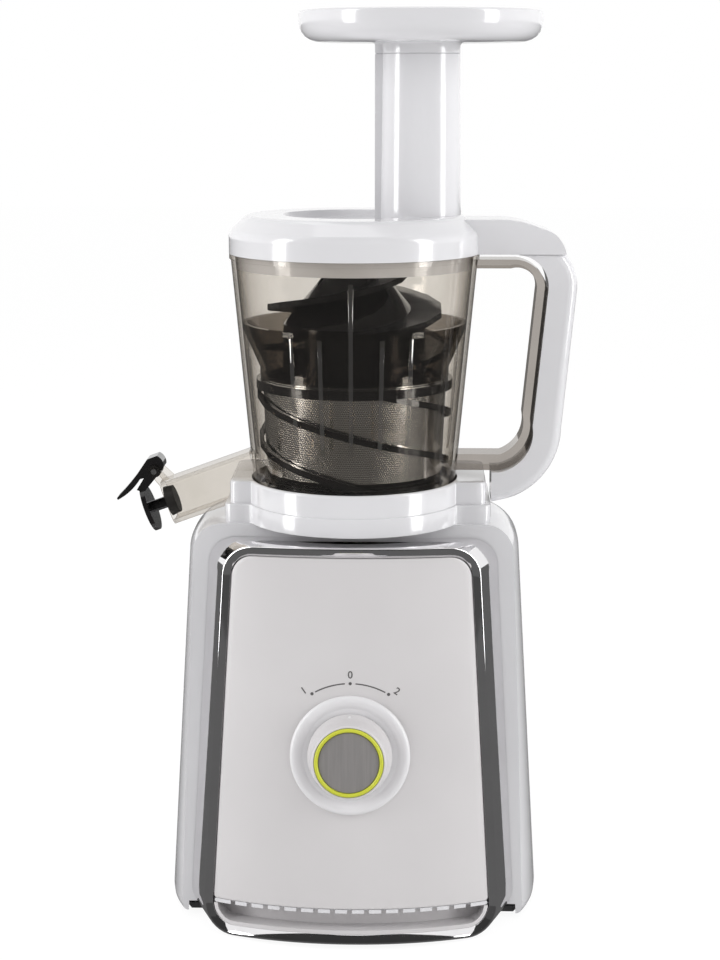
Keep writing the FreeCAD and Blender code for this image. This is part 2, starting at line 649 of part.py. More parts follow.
def make_pinion_pin():
    x, y = pinion_centre()
    return fused(cylinder(PINION_PIN_R - PRESS, BOWL_BOTTOM + 1.0, GEAR_TOP - 0.6, x, y),
                 cylinder(PINION_PIN_R + 2, BOWL_BOTTOM + BOWL_FLOOR, GEAR_BOTTOM - GAP, x, y))


def gear_outline(teeth, internal=False):
    """Points of one closed gear outline with involute flanks, a tooth (or a gap) centred on +X."""
    pitch_r = GEAR_MODULE * teeth / 2
    base_r = pitch_r * math.cos(math.radians(PRESSURE_ANGLE))
    add, ded = 0.8 * GEAR_MODULE, 1.15 * GEAR_MODULE
    tip, root = pitch_r + add, pitch_r - ded
    if internal:
        tip, root = pitch_r + ded, pitch_r - add
    slack = BACKLASH / 2 / pitch_r * (1 if internal else -1)

    def half_angle(r):
        def inv(radius):
            cosine = min(1.0, base_r / radius)
            a = math.acos(cosine)
            return math.tan(a) - a
        return math.pi / 2 / teeth + inv(pitch_r) - inv(r) + slack / 2

    radii = [max(root, base_r * 1.001), pitch_r, tip] if not internal else [root, pitch_r, tip]
    radii.insert(1, (radii[0] + pitch_r) / 2)
    radii.insert(3, (pitch_r + tip) / 2)
    points = []
    for i in range(teeth):
        centre = 2 * math.pi * i / teeth
        flank = [(r, half_angle(r)) for r in radii]
        if not internal:
            flank.insert(0, (root, min(flank[0][1] * 1.05, math.pi / teeth * 0.92)))
        points += [(r * math.cos(centre - a), r * math.sin(centre - a)) for r, a in flank]
        points += [(r * math.cos(centre + a), r * math.sin(centre + a)) for r, a in reversed(flank)]
    return points


def make_pinion_gear():
    gear = prism(gear_outline(PINION_TEETH), GEAR_BOTTOM, GEAR_TOP)
    offset = PINION_ANGLE / (360 / SUN_TEETH)
    offset -= round(offset)
    gap_at = PINION_ANGLE + 180 + offset * 360 / PINION_TEETH
    gear.rotate(V(0, 0, 0), UP, gap_at + 180 / PINION_TEETH)
    gear.translate(V(*pinion_centre(), 0))
    bore_r = PINION_PIN_R - PRESS + RUN_FIT
    return gear.cut(cylinder(bore_r, GEAR_BOTTOM - 1, GEAR_TOP + 1, *pinion_centre()))


def drum_radius(z):
    share = (z - DRUM_LOW_Z) / (DRUM_HIGH_Z - DRUM_LOW_Z)
    return bowl_radius(z) - DRUM_LOW_ROOM - (DRUM_HIGH_ROOM - DRUM_LOW_ROOM) * share


def auger_radius(z):
    if z > AUGER_KNEE_Z:
        share = (z - AUGER_KNEE_Z) / (AUGER_NOSE_Z - AUGER_KNEE_Z)
        return AUGER_KNEE_R + (AUGER_NOSE_R - AUGER_KNEE_R) * share
    share = (z - AUGER_FLOOR) / (AUGER_KNEE_Z - AUGER_FLOOR)
    return AUGER_LOW_R + (AUGER_KNEE_R - AUGER_LOW_R) * share


def flight_reach(z):
    """Outer radius of the auger's flights: just inside the strainer, the funnel and the nose."""
    inside = min(drum_radius(z) - DRUM_WALL, drum_radius(DRUM_HIGH_Z) - 1.8) - FLIGHT_GAP
    if z > DRUM_HIGH_Z + 7:
        inside += (z - DRUM_HIGH_Z - 7) * 0.36
    return max(auger_radius(z) + 0.6, min(inside, auger_radius(z) + 16))


def helix_band(inner_at, outer_at, low, high, turns, start, thick, per_turn=16):
    """Helical band: radial sections joined by straight faces, from low to high."""
    count = max(4, int(abs(turns) * per_turn))
    sections = []
    for i in range(count + 1):
        share = i / count
        z = low + (high - low) * share
        a = math.radians(start) + 2 * math.pi * turns * share
        direction = V(math.cos(a), math.sin(a), 0)
        inner, outer = inner_at(z), outer_at(z)
        corners = [direction * inner + V(0, 0, z - thick / 2), direction * outer + V(0, 0, z - thick / 2),
                   direction * outer + V(0, 0, z + thick / 2), direction * inner + V(0, 0, z + thick / 2)]
        sections.append(Part.makePolygon(corners + corners[:1]))
    return Part.makeLoft(sections, True, True)


def make_auger():
    low, knee, nose = AUGER_FLOOR, AUGER_KNEE_Z, AUGER_NOSE_Z
    wall = AUGER_WALL
    core = revolved([(SUN_BORE, low), (AUGER_LOW_R, low), (AUGER_KNEE_R, knee), (AUGER_NOSE_R, nose),
                     (AUGER_PIN_R, nose + 3), (AUGER_PIN_R, AUGER_PIN_TOP - 1), (AUGER_PIN_R - 1, AUGER_PIN_TOP),
                     (0, AUGER_PIN_TOP), (0, nose - 6), (AUGER_NOSE_R - 2, nose - 6),
                     (AUGER_KNEE_R - wall, knee - 2), (AUGER_LOW_R - wall, low + wall), (SUN_BORE, low + wall)])
    hub = cylinder(HUB_R, HUB_TOP + MOVE_GAP, nose - 4)
    return core.fuse([hub]).cut(hexagon(HEX_CORNER_R, HUB_TOP - 1, HEX_TOP + 3)).removeSplitter()


def make_auger_flights():
    """Two helical flights round the auger's cone, from the strainer's low edge to the nose."""
    cone = cone_between(AUGER_LOW_R, AUGER_KNEE_R, AUGER_FLOOR, AUGER_KNEE_Z)
    tip = cone_between(AUGER_KNEE_R, AUGER_NOSE_R, AUGER_KNEE_Z, AUGER_NOSE_Z)
    low = DRUM_LOW_Z + FLIGHT_THICK
    return [helix_band(lambda z: auger_radius(z) - 1.5, flight_reach, low, AUGER_NOSE_Z - 4, FLIGHT_TURNS,
                       start, FLIGHT_THICK).cut(cone).cut(tip) for start in (20, 200)]


def make_sun_gear():
    gear = prism(gear_outline(SUN_TEETH), GEAR_BOTTOM, AUGER_FLOOR)
    return gear.cut(cylinder(SUN_BORE, GEAR_BOTTOM - 1, AUGER_FLOOR + 1))


def make_bowl_seal():
    floor = BOWL_BOTTOM + BOWL_FLOOR
    return ring(SUN_BORE - MOVE_GAP, HUB_R, floor, floor + 4.5)


def make_strainer_drum():
    low_r, high_r = drum_radius(DRUM_LOW_Z), drum_radius(DRUM_HIGH_Z)
    outer = cone_between(low_r, high_r, DRUM_LOW_Z, DRUM_HIGH_Z)
    return outer.cut(cone_between(low_r - DRUM_WALL, high_r - DRUM_WALL, DRUM_LOW_Z, DRUM_HIGH_Z))


def make_strainer_frame():
    rim = bowl_radius(FUNNEL_TOP - 3) - BOWL_WALL - GAP
    low_r, high_r = drum_radius(DRUM_LOW_Z), drum_radius(DRUM_HIGH_Z)
    funnel = revolved([(high_r - 1.6, DRUM_HIGH_Z), (high_r + 1.2, DRUM_HIGH_Z),
                       (high_r + 1.2, DRUM_HIGH_Z + 5), (rim - 2, FUNNEL_TOP - 8), (rim, FUNNEL_TOP - 3),
                       (rim, FUNNEL_TOP), (rim - 2.2, FUNNEL_TOP), (rim - 4.2, FUNNEL_TOP - 7),
                       (high_r - 1.6, DRUM_HIGH_Z + 5)])
    foot = revolved([(low_r - 3.2, DRUM_LOW_Z - 6), (low_r, DRUM_LOW_Z - 6), (low_r, DRUM_LOW_Z),
                     (low_r - 2.2, DRUM_LOW_Z), (low_r - 3.2, DRUM_LOW_Z - 1)])
    return [funnel, foot]


def make_brush_gear():
    """Ring with inner teeth that the pinion turns; the brush frame stands on it."""
    rim = bowl_radius(GEAR_BOTTOM) - BOWL_WALL - MOVE_GAP
    blank = cylinder(rim, GEAR_BOTTOM, GEAR_TOP)
    return blank.cut(prism(gear_outline(RING_TEETH, True), GEAR_BOTTOM - 1, GEAR_TOP + 1))


def make_brush_frame():
    low_r, high_r = drum_radius(GEAR_TOP), drum_radius(DRUM_HIGH_Z) + 0.9
    hoop = ring(bowl_radius(GEAR_TOP) - BOWL_WALL - MOVE_GAP, low_r + 1.2, GEAR_TOP, GEAR_TOP + 2.6)
    collar = ring(high_r + 2.4, high_r, DRUM_HIGH_Z - 6, DRUM_HIGH_Z - 1)
    start = GEAR_TOP + BRUSH_BAND / 2 + 0.2
    arms = [helix_band(lambda z: drum_radius(z) + 1.3, lambda z: drum_radius(z) + 3.6, start, DRUM_HIGH_Z - 3,
                       BRUSH_TURNS, 120 * i - 60, BRUSH_BAND, per_turn=24) for i in range(BRUSH_ARMS)]
    return hoop.fuse([collar] + arms).removeSplitter()


def lid_arm(inset, y_half):
    """Tongue of the lid over the handle, or its hollow where inset."""
    low, top = BOWL_TOP + GAP - (1 if inset else 0), LID_TOP - 1.8 - inset
    tip = BOWL_TOP_R + 45.8 - 1.3 * inset
    root = BOWL_TOP_R - 26 + 10 * inset
    return side_plate([((root, low),), ((tip, low),), ((tip - 4.0, top - 9.8), (tip - 12.9, top - 4.8)),
                       ((tip - 23.8, top - 1.2), (tip - 37.8, top)), ((root, top),)], -y_half, y_half)


def make_lid():
    low = BOWL_TOP + GAP
    dome = revolved([(0, low), (LID_R, low), (LID_R, LID_TOP - LID_ROUND), (LID_R - LID_ROUND, LID_TOP),
                     (0, LID_TOP)])
    edge = [e for e in dome.Edges if abs(e.CenterOfMass.z - LID_TOP) < 0.01
            or abs(e.CenterOfMass.z - LID_TOP + LID_ROUND) < 0.01]
    body = fused(dome.makeFillet(6.0, edge), lid_arm(0, ARM_HALF + 0.8))
    ceiling = LID_TOP - RECESS_DEPTH - LID_WALL
    cavity = revolved([(0, low - 1), (LID_R - 6.4, low - 1), (LID_R - 6.4, LID_TOP - LID_ROUND - 2),
                       (LID_R - LID_ROUND - 4, ceiling), (0, ceiling)])
    recess = cone_between(RECESS_R - 2.0, RECESS_R, LID_TOP - RECESS_DEPTH, LID_TOP + 0.01)
    body = body.cut(cavity).cut(lid_arm(LID_WALL, ARM_HALF + 0.8 - LID_WALL)).cut(recess)
    spigot_low = BOWL_TOP - 7.6
    spigot_r = bowl_radius(spigot_low) - BOWL_WALL - 0.5
    spigot = ring(spigot_r, spigot_r - 2.2, spigot_low, LID_TOP - LID_ROUND - 3)
    tube = Part.makeCone(TUBE_BOTTOM_R, TUBE_TOP_R, TUBE_TOP - low - 8, V(TUBE_X, 0, low + 8))
    lobe_half = LOBE_WIDTH / 2
    lobe = block(TUBE_X - LOBE_REACH, TUBE_X, -lobe_half, lobe_half, LID_TOP - 4, TUBE_TOP)
    cup = ring(AUGER_PIN_R + 3.4, AUGER_PIN_R + RUN_FIT, AUGER_NOSE_Z + 6, ceiling + 1)
    body = body.fuse([spigot, tube, lobe, cup])
    bore_low = low - 10
    bore = Part.makeCone(TUBE_BOTTOM_R - TUBE_WALL, TUBE_TOP_R - TUBE_WALL, TUBE_TOP - bore_low + 10,
                         V(TUBE_X, 0, bore_low))
    lobe_half -= TUBE_WALL
    lobe_bore = block(TUBE_X - LOBE_REACH + TUBE_WALL, TUBE_X, -lobe_half, lobe_half, LID_TOP + 2, TUBE_TOP + 10)
    return body.cut(bore).cut(lobe_bore).removeSplitter()


def make_hopper_tray():
    low, high = TRAY_BOTTOM, TRAY_TOP
    rim = TRAY_R
    dish = revolved([(0, low), (rim - 9, low), (rim - 3.4, low + 2.6), (rim, low + 9), (rim, high),
                     (rim - TRAY_WALL, high), (rim - TRAY_WALL, low + 9.4), (rim - 5.4, low + 4.6),
                     (rim - 10, low + TRAY_WALL), (0, low + TRAY_WALL)])
    foot, lobe_half = TUBE_TOP + GAP, LOBE_WIDTH / 2
    collar = fused(cylinder(TUBE_TOP_R, foot, low + 1, TUBE_X),
                   block(TUBE_X - LOBE_REACH, TUBE_X, -lobe_half, lobe_half, foot, low + 1))
    spigot = cylinder(TUBE_TOP_R - TUBE_WALL - 0.4, TUBE_TOP - 7, low + 1, TUBE_X)
    bore = cylinder(TUBE_TOP_R - TUBE_WALL - 2.2, TUBE_TOP - 10, low + 10, TUBE_X)
    return dish.fuse([collar, spigot]).cut(bore).removeSplitter()


def make_cap_pin():
    half = EAR_Y + EAR_THICK
    return Part.makeCylinder(CAP_PIN_R - PRESS, 2 * half, V(PIN_X, -half, PIN_Z), V(0, 1, 0))


def spout_axis():
    """Middle of the juice spout's mouth and the direction juice leaves it."""
    slope = math.radians(SPOUT_SLOPE)
    return V(SPOUT_MOUTH[0], 0, SPOUT_MOUTH[1]), V(-math.cos(slope), 0, -math.sin(slope))


def from_pin(x, z):
    return PIN_X + x, PIN_Z + z


def make_cap_lever():
    half = EAR_Y - GAP
    boss = Part.makeCylinder(3.6, 2 * half, V(PIN_X, -half, PIN_Z), V(0, 1, 0))
    hook = side_plate([(from_pin(-2.5, -3.2),), (from_pin(0, -3.4),), (from_pin(3.9, 0.4),), (from_pin(5.2, 2.4),),
                       (from_pin(4.6, 5.4), from_pin(1.5, 8.4)), (from_pin(-3.9, 6.4),), (from_pin(-9.5, -1.8),),
                       (from_pin(-15.1, -9.0), from_pin(-20.8, -15.2)), (from_pin(-20.3, -16.2),),
                       (from_pin(-13.1, -11.0), from_pin(-7.9, -4.6))], -half, half)
    mouth, along = spout_axis()
    middle = mouth + along * 9.6
    plate = Part.makeCylinder(13.0, 2.6, middle, along)
    neck = side_plate([(from_pin(-9.9, -10.6),), (from_pin(-6.1, -12.0),), (from_pin(1.5, -2.8),),
                       (from_pin(-1.9, 2.4),)], -half, half)
    stem = Part.makeCylinder(3.2, 10.0, middle - along * 9.4, along)
    bore = Part.makeCylinder(CAP_PIN_R - PRESS + RUN_FIT, 40, V(PIN_X, -20, PIN_Z), V(0, 1, 0))
    return fused(boss, hook, plate, neck, stem).cut(bore)


def make_cap_plug():
    mouth, along = spout_axis()
    plug = Part.makeCone(7.6, 8.3, 5.0, mouth - along * 4.6, along)
    return plug.cut(Part.makeCylinder(3.2, 4.6, mouth + along * 0.2, along))


SUBPARTS = {
    "housing": make_housing, "neck": make_neck, "chrome_frame": make_chrome_frame,
    "front_panel": make_front_panel, "vent_comb": make_vent_comb, "intake_scoop": make_intake_scoop,
    "knob_dish": make_knob_dish, "base_plate": make_base_plate, "feet": make_feet,
    "motor_can": make_motor_can, "motor_cradle": make_motor_cradle, "gearbox": make_gearbox,
    "mount_pillars": make_mount_pillars, "shaft_seal": make_shaft_seal, "rotary_switch": make_rotary_switch,
    "control_board": make_control_board, "interlock_switch": make_interlock_switch,
    "cord_gland": make_cord_gland,
    "knob_grip": make_knob_grip, "knob_ring": make_knob_ring, "knob_cap": make_knob_cap,
    "knob_spindle": make_knob_spindle, "drive_shaft": make_drive_shaft,
    "juice_bowl": make_juice_bowl, "juice_spout": make_juice_spout, "pulp_chute": make_pulp_chute,
    "handle_rib": make_handle_rib, "handle_cover": make_handle_cover, "bowl_seal": make_bowl_seal,
    "strainer_frame": make_strainer_frame, "strainer_drum": make_strainer_drum, "cap_pin": make_cap_pin,
    "pinion_pin": make_pinion_pin, "pinion_gear": make_pinion_gear,
    "brush_gear": make_brush_gear, "brush_frame": make_brush_frame,
    "auger": make_auger, "auger_flights": make_auger_flights, "sun_gear": make_sun_gear,
    "lid": make_lid, "hopper_tray": make_hopper_tray, "cap_lever": make_cap_lever, "cap_plug": make_cap_plug,
}

os.makedirs("parts", exist_ok=True)
for name, make in SUBPARTS.items():
    made = make()
    shape = Part.makeCompound(made) if isinstance(made, list) else made
    shape.translate(V(AXIS_X, 0, 0))
    shape.exportStep("parts/%s.step" % name)
    print(name, len(shape.Solids), "valid" if shape.isValid() else "NOT VALID", round(shape.Volume), flush=True)
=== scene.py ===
import json
import math

import bmesh
import bpy
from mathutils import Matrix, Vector


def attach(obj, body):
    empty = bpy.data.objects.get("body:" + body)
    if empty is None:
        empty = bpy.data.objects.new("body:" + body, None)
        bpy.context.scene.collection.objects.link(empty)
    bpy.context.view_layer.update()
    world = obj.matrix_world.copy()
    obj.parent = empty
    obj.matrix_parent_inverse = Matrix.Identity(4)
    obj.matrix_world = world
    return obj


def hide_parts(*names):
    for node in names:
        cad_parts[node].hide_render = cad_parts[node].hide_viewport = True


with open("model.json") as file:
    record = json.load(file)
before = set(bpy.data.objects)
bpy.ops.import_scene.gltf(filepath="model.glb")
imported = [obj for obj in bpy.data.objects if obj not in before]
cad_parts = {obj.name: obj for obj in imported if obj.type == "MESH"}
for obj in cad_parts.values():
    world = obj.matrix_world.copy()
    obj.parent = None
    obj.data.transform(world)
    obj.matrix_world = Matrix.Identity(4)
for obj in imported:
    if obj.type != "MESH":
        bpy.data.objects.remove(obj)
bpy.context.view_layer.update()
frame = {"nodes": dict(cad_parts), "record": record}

scene = bpy.context.scene
nodes = frame["nodes"]
MM = 0.001

# Sizes are in millimetres about the drive axis, which stands at AXIS_X in the row frame.
AXIS_X = next(joint["pos_m"][0] for joint in frame["record"]["behaviour"]["joints"]
              if joint["name"] == "drive_turn")

# Base: a tapering body with a rounded shoulder under a flat deck
BASE_BOTTOM, DECK_Z = 3.0, 212.0
BASE_HALF_WIDTH, BASE_TAPER = 101.5, 0.06
BASE_CENTRE_Y = 8.0
BASE_FRONT, BASE_FRONT_LEAN = 101.0, 0.13
BASE_REAR, BASE_REAR_LEAN = 88.0, 0.06
BASE_SQUARENESS = 2.8
BASE_WALL = 3.0
SHOULDER = 15.0
SHOULDER_TURN = 86          # degrees of the shoulder's arc
SHOULDER_STEPS = 10

# Neck: a round collar with flat wings, in two tiers
NECK_LEFT, NECK_RIGHT = 66.5, 71.0
NECK_FRONT, NECK_REAR = 20.0, 44.0
NECK_CORNER = 5.0
NECK_BULGE_R = 58.2
NECK_STEP = 2.6
NECK_TIER_Z, NECK_TOP = 222.0, 234.0
NECK_EDGE = 1.4
NECK_FLOOR_Z = 215.7
NECK_HOLE_R, NECK_SOCKET_R = 40.0, 55.6

# Front: a bowed face that leans back, with a frame and a panel
FRONT_Y = -95.0
FRONT_LEAN = math.atan(BASE_FRONT_LEAN)
FRONT_RADIUS = 142.0
PANEL_HALF, PANEL_TAPER = 74.2, 0.0575
PANEL_BOTTOM, PANEL_TOP = 21.0, 205.0
PANEL_CORNER, PANEL_FOOT_CORNER = 11.0, 2.0
PANEL_THICK = 1.8
PANEL_SINK = 2.6
PANEL_EDGE, PANEL_DROP = 0.5, 0.35
FRAME_DEPTH = 42.0
FRAME_BACK_HALF, FRAME_BACK_TAPER = 87.9, 0.0525
FRAME_BACK_LOW, FRAME_BACK_TOP = 8.3, 212.2
FRAME_BACK_CORNER = 14.0
FRAME_OPENING_LOW = 8.2
FRAME_SIDE_SLOPE, FRAME_TOP_SLOPE = 10.6 / 24, 1.6 / 24

# Knob and dial
KNOB_S = 102.5              # height of the knob's axis up the face
DIAL_R = 37.5
DIAL_LINE = 0.33            # half the width of the dial's arc
DIAL_DOT_R = 0.85
DIAL_STOP = 32
DIAL_ARC = (4.2, 29.0)
FIGURE_SIZE = 5.4
PRINT_LIFT = 0.06

# Bowl, strainer and hopper
BOWL_TOP, BOWL_TOP_R, BOWL_TAPER = 354.6, 66.0, 0.0918
RIB_LOW = 254.0
RIB_RISE, RIB_HALF, RIB_ROOT = 0.9, 1.3, 0.25
TUBE_X, TUBE_R = 34.6, 21.0
LOBE_REACH, LOBE_HALF = 23.6, 8.0
TRAY_R = 63.8
TRAY_BOTTOM, TRAY_TOP = 464.0, 480.0


# Materials

MIX_FACTOR, MIX_A, MIX_B, MIX_RESULT = 0, 6, 7, 2     # a mix node's colour sockets


def new_material(name):
    """A material with its shader, and its output left in place."""
    mat = bpy.data.materials.new(name)
    mat.use_nodes = True
    tree = mat.node_tree
    return mat, tree, tree.nodes["Principled BSDF"]


def noise(tree, scale, detail=3.0, roughness=0.5, stretch=None):
    """Noise texture in the object's own coordinates, stretched if asked."""
    coords = tree.nodes.new("ShaderNodeTexCoord")
    texture = tree.nodes.new("ShaderNodeTexNoise")
    texture.inputs["Scale"].default_value = scale
    texture.inputs["Detail"].default_value = detail
    texture.inputs["Roughness"].default_value = roughness
    source = coords.outputs["Object"]
    if stretch:
        mapping = tree.nodes.new("ShaderNodeMapping")
        mapping.inputs["Scale"].default_value = stretch
        tree.links.new(source, mapping.inputs["Vector"])
        source = mapping.outputs["Vector"]
    tree.links.new(source, texture.inputs["Vector"])
    return texture


def ramp(tree, source, low, high, start=0.0, end=1.0):
    """Map a value from the range start to end to the range low to high."""
    node = tree.nodes.new("ShaderNodeMapRange")
    node.inputs["From Min"].default_value = start
    node.inputs["From Max"].default_value = end
    node.inputs["To Min"].default_value = low
    node.inputs["To Max"].default_value = high
    tree.links.new(source, node.inputs["Value"])
    return node.outputs["Result"]


def maths(tree, kind, first, second=None):
    """Result of a sum on sockets or numbers."""
    node = tree.nodes.new("ShaderNodeMath")
    node.operation = kind
    for i, value in enumerate((first, second)):
        if isinstance(value, (int, float)):
            node.inputs[i].default_value = value
        elif value is not None:
            tree.links.new(value, node.inputs[i])
    return node.outputs[0]


def tint(tree, source, dark, light, start=0.3, end=0.7):
    """Colour that varies between dark and light with the source."""
    node = tree.nodes.new("ShaderNodeValToRGB")
    node.color_ramp.elements[0].color = (*dark, 1)
    node.color_ramp.elements[1].color = (*light, 1)
    node.color_ramp.elements[0].position = start
    node.color_ramp.elements[1].position = end
    tree.links.new(source, node.inputs["Fac"])
    return node.outputs["Color"]


def blend(tree, factor, first, second):
    """Colour between two, each a socket or a colour."""
    node = tree.nodes.new("ShaderNodeMix")
    node.data_type = "RGBA"
    tree.links.new(factor, node.inputs[MIX_FACTOR])
    for index, colour in ((MIX_A, first), (MIX_B, second)):
        if isinstance(colour, tuple):
            node.inputs[index].default_value = (*colour, 1)
        else:
            tree.links.new(colour, node.inputs[index])
    return node.outputs[MIX_RESULT]


def mixed(tree, factor, first, second):
    """Shader between two others."""
    node = tree.nodes.new("ShaderNodeMixShader")
    for index, socket in enumerate((factor, first, second)):
        tree.links.new(socket, node.inputs[index])
    return node.outputs[0]


def bump(tree, shader, source, strength, distance):
    """Relief of so many metres on a shader."""
    node = tree.nodes.new("ShaderNodeBump")
    node.inputs["Strength"].default_value = strength
    node.inputs["Distance"].default_value = distance
    tree.links.new(source, node.inputs["Height"])
    tree.links.new(node.outputs["Normal"], shader.inputs["Normal"])


def moulded(name, dark, light, rough, coat=0.0, grain=900.0, relief=0.15, spread=0.05):
    """Moulded plastic: faint mottling, uneven gloss and a fine skin."""
    mat, tree, shader = new_material(name)
    broad = noise(tree, 14.0, 2.0)
    fine = noise(tree, grain, 3.0, 0.6)
    tree.links.new(tint(tree, broad.outputs["Fac"], dark, light), shader.inputs["Base Color"])
    tree.links.new(ramp(tree, fine.outputs["Fac"], rough - spread, rough + spread),
                   shader.inputs["Roughness"])
    shader.inputs["Coat Weight"].default_value = coat
    shader.inputs["Coat Roughness"].default_value = 0.06
    bump(tree, shader, fine.outputs["Fac"], relief, 0.00004)
    return mat


def metal(name, dark, light, rough, spread, scale, stretch=None, relief=0.1, metallic=1.0):
    """Metal whose finish follows a noise: even for chrome, drawn out for brushed steel."""
    mat, tree, shader = new_material(name)
    grain = noise(tree, scale, 4.0, 0.6, stretch)
    tree.links.new(tint(tree, grain.outputs["Fac"], dark, light), shader.inputs["Base Color"])
    shader.inputs["Metallic"].default_value = metallic
    tree.links.new(ramp(tree, grain.outputs["Fac"], max(0.02, rough - spread), rough + spread),
                   shader.inputs["Roughness"])
    bump(tree, shader, grain.outputs["Fac"], relief, 0.00003)
    return mat


def smoky(name, dark, light, edge, gloss=0.045):
    """Clear smoky plastic: a warm tint, deeper along the skin, and a mirror that grows with the angle."""
    mat, tree, shader = new_material(name)
    haze = noise(tree, 40.0, 2.0)
    fine = noise(tree, 300.0, 2.0)
    clear = tree.nodes.new("ShaderNodeBsdfTransparent")
    weight = tree.nodes.new("ShaderNodeLayerWeight")
    weight.inputs["Blend"].default_value = 0.5
    facing = weight.outputs["Facing"]
    body = tint(tree, haze.outputs["Fac"], dark, light)
    colour = blend(tree, maths(tree, "POWER", facing, 3.0), body, edge)
    tree.links.new(colour, clear.inputs["Color"])
    shader.inputs["Base Color"].default_value = (0.92, 0.90, 0.88, 1)
    shader.inputs["Metallic"].default_value = 1.0
    tree.links.new(ramp(tree, fine.outputs["Fac"], 0.02, 0.09), shader.inputs["Roughness"])
    mirror = maths(tree, "MULTIPLY", maths(tree, "POWER", facing, 5.0), 0.8)
    surface = mixed(tree, maths(tree, "ADD", mirror, gloss), clear.outputs[0], shader.outputs[0])
    tree.links.new(surface, tree.nodes["Material Output"].inputs["Surface"])
    return mat


def perforated(name, columns, pitch):
    """Steel sheet with rows of small round holes, laid out round the drive axis; the holes are not cut but
    painted dark grey, partly painted shade of the drum's inside and partly the black auger seen through
    them.
    """
    mat, tree, shader = new_material(name)
    coords = tree.nodes.new("ShaderNodeTexCoord")
    parts = tree.nodes.new("ShaderNodeSeparateXYZ")
    tree.links.new(coords.outputs["Object"], parts.inputs[0])
    turn = maths(tree, "ARCTAN2", parts.outputs["Y"], maths(tree, "SUBTRACT", parts.outputs["X"], AXIS_X))
    across = maths(tree, "MULTIPLY", turn, columns / (2 * math.pi))
    up = maths(tree, "DIVIDE", parts.outputs["Z"], pitch)
    across = maths(tree, "ADD", across, maths(tree, "MULTIPLY", maths(tree, "FLOOR", up), 0.5))
    u = maths(tree, "SUBTRACT", maths(tree, "FRACT", across), 0.5)
    v = maths(tree, "SUBTRACT", maths(tree, "FRACT", up), 0.5)
    away = maths(tree, "ADD", maths(tree, "MULTIPLY", u, u), maths(tree, "MULTIPLY", v, v))
    solid = ramp(tree, maths(tree, "SQRT", away), 0.0, 1.0, 0.22, 0.30)
    grain = noise(tree, 500.0, 4.0, 0.6, (1, 1, 0.05))
    plain = tint(tree, grain.outputs["Fac"], (0.88, 0.86, 0.83), (0.95, 0.93, 0.90))
    # Painted shade: the holes get a dark grey that stands for the shaded inside of the drum and the black
    # auger behind them.
    tree.links.new(blend(tree, solid, (0.30, 0.29, 0.27), plain), shader.inputs["Base Color"])
    shader.inputs["Metallic"].default_value = 1.0
    tree.links.new(ramp(tree, grain.outputs["Fac"], 0.10, 0.20), shader.inputs["Roughness"])
    bump(tree, shader, solid, 0.4, 0.0001)
    return mat


WHITE = moulded("gloss_white", (0.77, 0.765, 0.785), (0.80, 0.795, 0.815), 0.16, coat=0.6, relief=0.03)
SILVER = moulded("silver_paint", (0.665, 0.645, 0.65), (0.70, 0.68, 0.685), 0.38, grain=1600.0, relief=0.12)
CHROME = metal("bright_chrome", (0.80, 0.79, 0.80), (0.86, 0.85, 0.86), 0.05, 0.03, 60.0, relief=0.01)
STEEL = metal("brushed_steel", (0.56, 0.55, 0.54), (0.70, 0.69, 0.68), 0.28, 0.08, 500.0, (1, 0.05, 1))
DISC_STEEL = metal("disc_steel", (0.36, 0.345, 0.34), (0.42, 0.40, 0.395), 0.34, 0.05, 900.0,
                   (1, 0.04, 0.04), relief=0.05, metallic=0.4)
MESH_STEEL = perforated("strainer_steel", 260, 1.15 * MM)
BLACK = moulded("black_plastic", (0.006, 0.0055, 0.0055), (0.010, 0.009, 0.009), 0.16, coat=0.5,
                relief=0.06)
GREY = moulded("grey_plastic", (0.05, 0.05, 0.052), (0.07, 0.07, 0.072), 0.5)
RUBBER = moulded("black_rubber", (0.012, 0.012, 0.012), (0.02, 0.02, 0.02), 0.65, grain=1500.0, relief=0.4)
LIME = moulded("lime_plastic", (0.60, 0.63, 0.045), (0.66, 0.69, 0.06), 0.30, coat=0.3)
ENAMEL = moulded("motor_enamel", (0.06, 0.06, 0.07), (0.09, 0.09, 0.10), 0.35)
BOARD = moulded("board_green", (0.02, 0.10, 0.04), (0.03, 0.14, 0.05), 0.35)
BEZEL = moulded("satin_bezel", (0.80, 0.79, 0.805), (0.84, 0.83, 0.845), 0.30, coat=0.3, relief=0.03)
DOT_WHITE = moulded("dot_white", (0.82, 0.82, 0.82), (0.86, 0.86, 0.86), 0.4)
INK = moulded("grey_ink", (0.10, 0.095, 0.095), (0.13, 0.125, 0.125), 0.5)
SMOKY = smoky("smoky_clear", (0.915, 0.90, 0.875), (0.94, 0.925, 0.905), (0.42, 0.39, 0.35))
SMOKY_RIB = smoky("smoky_rib", (0.72, 0.70, 0.67), (0.78, 0.76, 0.73), (0.20, 0.18, 0.15), 0.30)
SMOKY_DARK = smoky("smoky_dark", (0.52, 0.495, 0.46), (0.58, 0.55, 0.52), (0.12, 0.105, 0.09))
SMOKY_DEEP = smoky("smoky_deep", (0.60, 0.575, 0.55), (0.66, 0.635, 0.61), (0.25, 0.225, 0.20))

